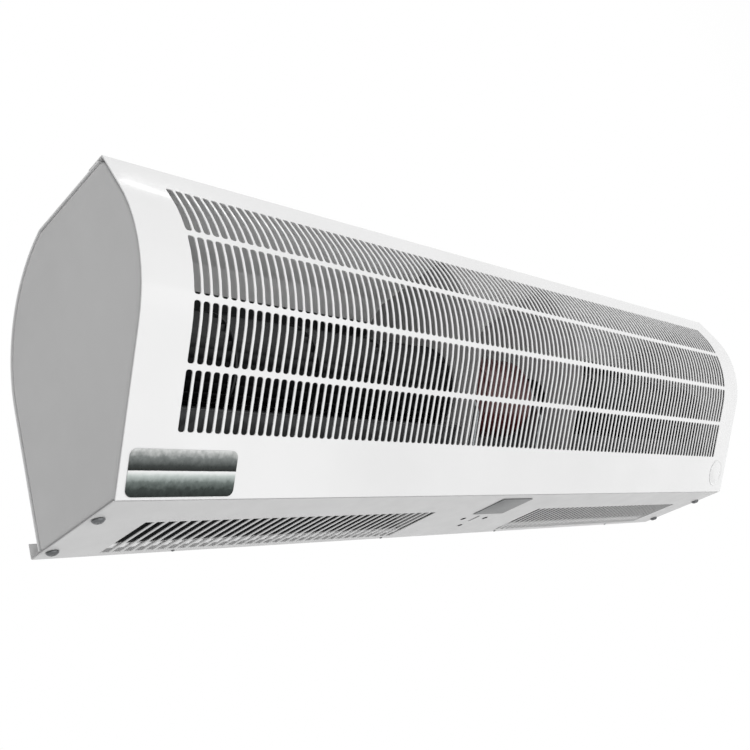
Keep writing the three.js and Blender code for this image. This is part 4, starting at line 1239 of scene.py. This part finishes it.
class StudioStage(bpy.types.Operator):
    """Sets the pale floor, the soft studio light and the camera"""

    bl_idname = "curtain.studio_stage"
    bl_label = "Studio stage"

    def execute(self, context):
        studio = context.scene.curtain_studio
        self.floor(studio)
        self.surroundings(context.scene, studio)
        self.lamps()
        self.camera(context.scene, studio)
        return {"FINISHED"}

    def floor(self, studio):
        """Large disc under the unit."""
        radius = 7.0
        points, faces = turned([(0, 0), (radius, 0)], "Z", (0, 0, ORIGIN[2] - studio.floor_drop), 96)
        mesh = joined_mesh("studio_floor", points, faces.tolist(), closed=False)
        paper = Finish("studio_paper", (0.92, 0.92, 0.92), 0.9, specular=0.1)
        mesh.materials.append(paper.raised(paper.noise(40, 3), 0.05, MM).material)
        in_scene("studio_floor", mesh)

    def surroundings(self, scene, studio):
        """White surroundings, darker overhead and towards the left end, and plain display colours.

        The falls of light ahead of the unit and behind it go with the height z of a direction, and they are
        mixed by its depth y. The whole is dimmer at negative x.
        """
        leftward = (-0.8, -0.4)
        rearward = (-0.05, 0.2)
        world = bpy.data.worlds.new("studio_white")
        world.use_nodes = True
        tree = world.node_tree
        ground = tree.nodes["Background"]
        split = tree.nodes.new("ShaderNodeSeparateXYZ")
        sideways = tree.nodes.new("ShaderNodeMapRange")
        sideways.inputs["From Min"].default_value = leftward[0]
        sideways.inputs["From Max"].default_value = leftward[1]
        sideways.inputs["To Min"].default_value = studio.ambient * studio.left_share
        sideways.inputs["To Max"].default_value = studio.ambient
        tree.links.new(split.outputs["X"], sideways.inputs["Value"])
        tree.links.new(sideways.outputs["Result"], ground.inputs["Strength"])
        tree.links.new(tree.nodes.new("ShaderNodeTexCoord").outputs["Generated"], split.inputs["Vector"])
        behind = ((0.74, 1.0), (0.95, 0.5))
        ahead = ((0.0, 1.0), (0.6, 0.95))
        mix = tree.nodes.new("ShaderNodeMixRGB")
        for stops, socket in ((ahead, "Color1"), (behind, "Color2")):
            ramp = tree.nodes.new("ShaderNodeValToRGB")
            for element, (place, level) in zip(ramp.color_ramp.elements, stops, strict=True):
                element.position = place
                element.color = (level, level, level, 1.0)
            tree.links.new(split.outputs["Z"], ramp.inputs["Fac"])
            tree.links.new(ramp.outputs["Color"], mix.inputs[socket])
        depth = tree.nodes.new("ShaderNodeMapRange")
        depth.inputs["From Min"].default_value = rearward[0]
        depth.inputs["From Max"].default_value = rearward[1]
        tree.links.new(split.outputs["Y"], depth.inputs["Value"])
        tree.links.new(depth.outputs["Result"], mix.inputs["Fac"])
        tree.links.new(mix.outputs["Color"], ground.inputs["Color"])
        scene.world = world
        scene.view_settings.view_transform = "Standard"

    def lamps(self):
        """Soft boxes: (name, place, target, size, power)."""
        boxes = [
            ("front_softbox", (0.2, -1.9, -1.1), (0.0, -0.1, 0.0), (3.0, 2.4), 16.0),
            ("end_softbox", (-1.0, -0.62, 0.42), (-0.45, -0.19, 0.05), (0.25, 0.5), 0.35),
            ("strip_softbox", (0.3, -0.378, 1.08), (-0.4, -0.192, 0.112), (0.03, 0.34), 0.1),
        ]
        for name, place, target, size, power in boxes:
            lamp = bpy.data.lights.new(name, "AREA")
            lamp.shape = "RECTANGLE"
            lamp.size, lamp.size_y = size
            lamp.energy = power
            aim = (Vector(target) - Vector(place)).to_track_quat("-Z", "Y").to_matrix()
            in_scene(name, lamp).matrix_world = Matrix.Translation(place) @ aim.to_4x4()

    def camera(self, scene, studio):
        """Camera at the angles of the photograph, rolled about its own axis."""
        data = bpy.data.cameras.new("studio_camera")
        data.sensor_width = 36
        data.lens = studio.lens
        data.shift_x = studio.shift_x
        data.shift_y = studio.shift_y
        data.clip_start = 0.01
        data.dof.use_dof = False
        camera = in_scene("studio_camera", data)
        a, e = studio.azimuth, studio.elevation
        back = Vector((math.sin(a) * math.cos(e), -math.cos(a) * math.cos(e), math.sin(e)))
        level = (-back).to_track_quat("-Z", "Y").to_matrix()
        turn = level @ Euler((0, 0, -studio.roll)).to_matrix()
        camera.matrix_world = Matrix.Translation(studio.place) @ turn.to_4x4()
        scene.camera = camera


class FrontPanel(bpy.types.Operator):
    """Builds the slotted front with its flanges"""

    bl_idname = "curtain.front_panel"
    bl_label = "Slotted front"

    def execute(self, context):
        sizes = context.scene.curtain_sizes
        body = slotted_front(sizes)
        new_piece("slotted_front", *body, "gloss_white", ["front_grille_panel"], smooth=30)
        shy = SHEET / 3
        corners = [(RETURN_FLANGE, FLOOR), (-shy, FLOOR), (-shy - 4 * MM, FLOOR + 6 * MM)]
        new_piece("front_return_flange", *inner_flange(corners), "gloss_white")
        return {"FINISHED"}


class EndPlates(bpy.types.Operator):
    """Builds the two side plates with their rolled edges"""

    bl_idname = "curtain.end_plates"
    bl_label = "Side plates"

    def execute(self, context):
        body = end_plate(context.scene.curtain_sizes)
        both_sides("end_plate", *body, "side_grey", ["side_plate"], smooth=30)
        return {"FINISHED"}


class BackShell(bpy.types.Operator):
    """Builds the top and back of the casing"""

    bl_idname = "curtain.back_shell"
    bl_label = "Back shell"

    def execute(self, context):
        body = plain_sheet(back_path(), PANEL_HALF, step_angle=4.0)
        new_piece("back_shell", *body, "shell_grey", ["rear_shell"], slot="plate_grey")
        wall = DEPTH - SHEET - EDGE
        corners = [(wall, FLOOR + 9 * MM), (wall, FLOOR), (DEPTH - BACK_FLANGE, FLOOR)]
        new_piece("back_return_flange", *inner_flange(corners), "shell_grey", slot="plate_grey")
        return {"FINISHED"}


class OutletPlate(bpy.types.Operator):
    """Builds the bottom plate with its outlets and openings"""

    bl_idname = "curtain.outlet_plate"
    bl_label = "Outlet plate"

    def execute(self, context):
        new_piece("outlet_plate", *outlet_plate(), "plate_grey", ["bottom_outlet_plate"], smooth=30)
        return {"FINISHED"}


class HangingRail(bpy.types.Operator):
    """Builds the wall rail with its keyholes"""

    bl_idname = "curtain.hanging_rail"
    bl_label = "Hanging rail"

    def execute(self, context):
        new_piece("hanging_rail", *hanging_rail(), "zinc_steel", ["mounting_rail"], smooth=30)
        return {"FINISHED"}


class AirPath(bpy.types.Operator):
    """Builds the partitions, rear guides and front tongues"""

    bl_idname = "curtain.air_path"
    bl_label = "Air path"

    def execute(self, context):
        for side in ("left", "right"):
            # Partitions: mid grey, partly painted shade in the fan bays.
            softened(f"{side}_partition", f"partition_{side}", "bay_shade_grey")
            # Air guides: black sheet, partly painted shade in the outlet duct.
            softened(f"{side}_rear_guide", f"air_guide_{side}", "black_sheet")
            # Front tongues: darkened steel, painted shade in the outlet duct.
            softened(f"{side}_front_tongue", f"air_tongue_{side}", "shade_darkened_steel")
        return {"FINISHED"}


class Wheels(bpy.types.Operator):
    """Builds the cross-flow wheels"""

    bl_idname = "curtain.wheels"
    bl_label = "Wheels"

    def execute(self, context):
        sizes = context.scene.curtain_sizes
        for side in ("left", "right"):
            body = wheel(sizes, side)
            new_piece(f"wheel_{side}", *body, "wheel_black", [f"{side}_impeller"], "rotor")
        return {"FINISHED"}


class Spindles(bpy.types.Operator):
    """Builds the shaft, hubs, stub shafts, bushes and their seats"""

    bl_idname = "curtain.spindles"
    bl_label = "Shafts and bushes"

    def execute(self, context):
        shaft = 5 * MM
        journal = 4 * MM
        new_piece("shaft", *spindle("motor_shaft", shaft), "steel", ["motor_shaft"], "rotor")
        hub = sleeve("right_shaft_hub", shaft + GAP / 2, waist=2.5 * MM)
        both_sides("coupling", *hub, "rubber_black", ["shaft_hub"], body="rotor")
        low, high = box_of("right_stub_shaft")
        wide = (high[2] - low[2]) / 2
        step = low[0] + 2.5 * MM
        head = [(0, low[0]), (wide, low[0]), (wide, step)]
        profile = [*head, (journal, step), (journal, high[0]), (0, high[0])]
        stub = fan_centred(profile)
        both_sides("stub", *stub, "steel", ["stub_shaft"], body="rotor")
        bush = sleeve("right_end_bush", journal + GAP / 2)
        both_sides("bush", *bush, "rubber_black", ["end_bush"])
        for side in ("left", "right"):
            softened(f"{side}_bush_seat", f"bush_cup_{side}", "zinc_steel", 0.5 * MM)
        return {"FINISHED"}


class Motor(bpy.types.Operator):
    """Builds the motor with its rings and brackets"""

    bl_idname = "curtain.motor"
    bl_label = "Motor"

    def execute(self, context):
        low, high = box_of("motor_stator")
        radius = (high[2] - low[2]) / 2
        lamination = 1.6 * MM
        ridge = 0.25 * MM
        count = int((high[0] - low[0]) / lamination)
        places = np.linspace(low[0], high[0], 2 * count + 1)
        outside = [(radius - ridge * (k % 2), x) for k, x in enumerate(places)]
        bore = 9 * MM
        profile = [(bore, low[0]), *outside, (bore, high[0])]
        body = turned_ring(profile, "X", (0, *FAN[1:]))
        new_piece("stator", *body, "motor_red", ["motor_stator"], smooth=60)
        both_sides("bell", *self.bell(), "motor_red", ["motor_bell"])
        ring = sleeve("right_motor_ring", 15 * MM + GAP, edge=1.2 * MM)
        both_sides("motor_rubber", *ring, "rubber_black", ["motor_ring"])
        for side in ("left", "right"):
            softened(f"{side}_motor_bracket", f"motor_stand_{side}", "zinc_steel", 0.5 * MM)
        return {"FINISHED"}

    def bell(self):
        """End bell: flange on the stator, drawn cup, shoulder and bearing boss, with four bolt heads."""
        low, high = box_of("right_motor_bell")
        radius = (high[2] - low[2]) / 2
        boss = 15 * MM
        bore = 5.2 * MM
        cup = low[0] + 12 * MM
        profile = [
            (bore, low[0]), (radius, low[0]), (radius, low[0] + 3 * MM), (radius - 2 * MM, low[0] + 4 * MM),
            (radius - 3 * MM, low[0] + 7 * MM), (radius - 9 * MM, cup), (boss + 4 * MM, cup),
            (boss, cup + 2 * MM), (boss, high[0]), (bore, high[0]),
        ]
        cover = turned_ring(rounded(profile, 1.2 * MM, 3, closed=True), "X", (0, *FAN[1:]), 64)
        bolt_circle = circle(4, radius - 5.5 * MM, math.pi / 4)
        head = rounded([(0, 0), (2.4 * MM, 0), (2.4 * MM, 3 * MM), (0, 3 * MM)], 0.5 * MM, 2)
        start = low[0] + 6 * MM
        bolts = [turned(head, "X", (start, *(FAN[1:] + offset)), 6) for offset in bolt_circle]
        return merged([cover, *bolts])


class Controls(bpy.types.Operator):
    """Builds the board, switches, buttons, receiver window and lamp"""

    bl_idname = "curtain.controls"
    bl_label = "Controls"

    def execute(self, context):
        softened("control_board", "circuit_board", "board_green", 0.2 * MM)
        for side in ("left", "right"):
            softened(f"{side}_tact_switch", f"switch_{side}", "plastic_black", 0.4 * MM)
            self.button(side)
        self.window()
        self.lamp()
        return {"FINISHED"}

    def button(self, side):
        """Dished cap with a collar and a stem."""
        node = f"{side}_button"
        low, high = box_of(node)
        middle = (low + high) / 2
        collar_low = FLOOR - low[2]
        collar_high = collar_low + SHEET
        cap = 2.7 * MM
        face = -0.5 * MM  # the cap is flush with the plate
        dish = 0.25 * MM
        collar = 4.5 * MM
        stem = 1.8 * MM
        top = high[2] - low[2]
        profile = [
            (0, face + dish), (cap * 0.55, face + dish * 0.6), (cap * 0.85, face), (cap, face + 0.3 * MM),
            (cap, collar_low), (collar, collar_low), (collar, collar_high), (stem, collar_high), (stem, top),
            (0, top),
        ]
        body = turned(rounded(profile, 0.2 * MM, 3), "Z", (middle[0], middle[1], low[2]), 40)
        new_piece(f"push_button_{side}", *body, "plastic_black", [node], f"{side}_button_cap")

    def window(self):
        """Window with round ends, a flange behind the plate and a flat lens in the opening."""
        low, high = box_of("receiver_window")
        middle = (low + high) / 2
        brim = LENS + 1.2 * MM
        flange = block((*(middle[:2] - brim), FLOOR), (*(middle[:2] + brim), high[2]), EDGE)
        front = block((*(middle[:2] - LENS), 0.0), (*(middle[:2] + LENS), FLOOR + EDGE), EDGE, MM)
        body = merged([front, flange])
        new_piece("remote_window", *body, "window", ["receiver_window"], slot="plastic_black")

    def lamp(self):
        """Domed light guide with a collar."""
        low, high = box_of("status_lamp")
        middle = (low + high) / 2
        radius = 2.7 * MM
        angles = np.linspace(0, math.pi / 2, 8)
        dome = [(radius * math.sin(a), MM * (1 - math.cos(a))) for a in angles]
        foot = FLOOR - low[2]
        collar = 4.5 * MM
        top = high[2] - low[2]
        rest = [(radius, foot), (collar, foot), (collar, foot + SHEET), (1.6 * MM, foot + 3 * MM)]
        profile = [*dome, *rest, (1.2 * MM, top), (0, top)]
        body = turned(profile, "Z", (middle[0], middle[1], low[2]), 40)
        new_piece("status_light", *body, "plastic_black", ["status_lamp"])


class Wiring(bpy.types.Operator):
    """Builds the run capacitor, the terminal block and the closed grommet"""

    bl_idname = "curtain.wiring"
    bl_label = "Wiring parts"

    def execute(self, context):
        low, high = box_of("run_capacitor")
        body = block(low, high, 1.5 * MM, 4 * MM)
        new_piece("capacitor", *body, "plastic_white", ["run_capacitor"])
        softened("terminal_block", "terminals", "plastic_white", 0.4 * MM)
        self.grommet()
        return {"FINISHED"}

    def grommet(self):
        """Closed grommet: two brims joined by a neck, with a dished membrane."""
        low, high = box_of("cable_grommet")
        middle = (low + high) / 2
        wide = (high[0] - low[0]) / 2
        neck = wide - 3.4 * MM
        inside = DEPTH - SHEET - GAP
        outside = DEPTH + GAP
        profile = [
            (0, low[1]), (wide, low[1]), (wide, inside), (neck, inside), (neck, outside), (wide, outside),
            (wide - MM, high[1]), (neck - MM, high[1]), (neck - 2 * MM, high[1] - 1.2 * MM),
            (0, high[1] - 1.4 * MM),
        ]
        body = turned(rounded(profile, 0.5 * MM, 3), "Y", (middle[0], 0, middle[2]), 48)
        new_piece("wire_grommet", *body, "rubber_black", ["cable_grommet"])


class Screws(bpy.types.Operator):
    """Builds the four pan-head screws and the four small ones along the lip"""

    bl_idname = "curtain.screws"
    bl_label = "Screws"

    def execute(self, context):
        for side in ("left", "right"):
            for row in ("front", "rear"):
                node = f"{side}_{row}_screw"
                low, high = box_of(node)
                middle = (low + high) / 2
                body = screw_head((middle[0], middle[1], -GAP), 4.65 * MM, 2.6 * MM, high[2] + GAP)
                new_piece(f"screw_{side}_{row}", *body, "dark_steel", [node])
        for k, x in enumerate(np.array([-334, -93, 93, 334]) * MM):
            body = screw_head((x, WALL - 4 * MM, -GAP / 2), 1.4 * MM, 0.7 * MM, 0.8 * MM, 0.3 * MM)
            new_piece(f"lip_screw_{k + 1}", *body, "dark_steel")
        return {"FINISHED"}


class Stickers(bpy.types.Operator):
    """Builds the front sticker, the round badge and the blank rating plate"""

    bl_idname = "curtain.stickers"
    bl_label = "Stickers"

    def execute(self, context):
        sticker_thickness = 0.35 * MM
        low, high = box_of("front_sticker")
        middle = (low + high) / 2
        slope = (high[2] - low[2]) / math.cos(FRONT_LEAN) - 0.4 * MM
        half = np.array([high[0] - low[0], slope]) / 2
        place = on_front(middle[0], middle[2] / math.cos(FRONT_LEAN))
        outline = rectangle(-half[0], -half[1], half[0], half[1], 5 * MM, 8)
        body = moulded(outline, edge_section(sticker_thickness, 0.1 * MM), place)
        new_piece("band_sticker", *body, "silver_film", ["front_sticker"])
        self.badge()
        low, high = box_of("rating_plate")
        new_piece("blank_plate", *block(low, high, 0.1 * MM, 1.2 * MM), "plate_film", ["rating_plate"])
        return {"FINISHED"}

    def badge(self):
        """Embossed round badge: a raised rim and a plain raised middle, on the same white."""
        low, high = box_of("round_badge")
        middle = (low + high) / 2
        radius = (high[0] - low[0]) / 2
        place = on_front(middle[0], middle[2] / math.cos(FRONT_LEAN))
        rim = [(0, 0), (0, 0.3), (0.2, 0.5), (1.2, 0.5)]
        inner = [(1.6, 0.25), (3.4, 0.25), (3.8, 0.45), (12, 0.45)]
        section = np.array(rim + inner) * MM
        body = moulded(lambda distance: circle(72, radius - distance), section, place)
        new_piece("plain_badge", *body, "gloss_white", ["round_badge"])


class CurtainPanel(bpy.types.Panel):
    """Settings and builders of the air curtain"""

    bl_idname = "VIEW3D_PT_curtain"
    bl_label = "Air Curtain"
    bl_space_type = "VIEW_3D"
    bl_region_type = "UI"
    bl_category = "Air Curtain"

    def draw(self, context):
        layout = self.layout
        for setting in SETTINGS:
            group = getattr(context.scene, setting)
            column = layout.column()
            for name in group.__annotations__:
                column.prop(group, name)
        for builder in BUILDERS:
            layout.operator(builder.bl_idname)


SETTINGS = {"curtain_sizes": CurtainSizes, "curtain_colours": CurtainColours, "curtain_studio": CurtainStudio}
BUILDERS = (
    StudioStage, FrontPanel, EndPlates, BackShell, OutletPlate, HangingRail, AirPath, Wheels, Spindles, Motor,
    Controls, Wiring, Screws, Stickers,
)


def register():
    """Registers the settings, the builders and the panel."""
    for name, group in SETTINGS.items():
        bpy.utils.register_class(group)
        setattr(bpy.types.Scene, name, bpy.props.PointerProperty(type=group))
    for builder in BUILDERS:
        bpy.utils.register_class(builder)
    bpy.utils.register_class(CurtainPanel)


def unregister():
    """Takes away what register added."""
    bpy.utils.unregister_class(CurtainPanel)
    for builder in reversed(BUILDERS):
        bpy.utils.unregister_class(builder)
    for name, group in SETTINGS.items():
        delattr(bpy.types.Scene, name)
        bpy.utils.unregister_class(group)


def main():
    """Builds everything in order."""
    register()
    for builder in BUILDERS:
        group, name = builder.bl_idname.split(".")
        getattr(getattr(bpy.ops, group), name)()


if __name__ == "__main__":
    main()
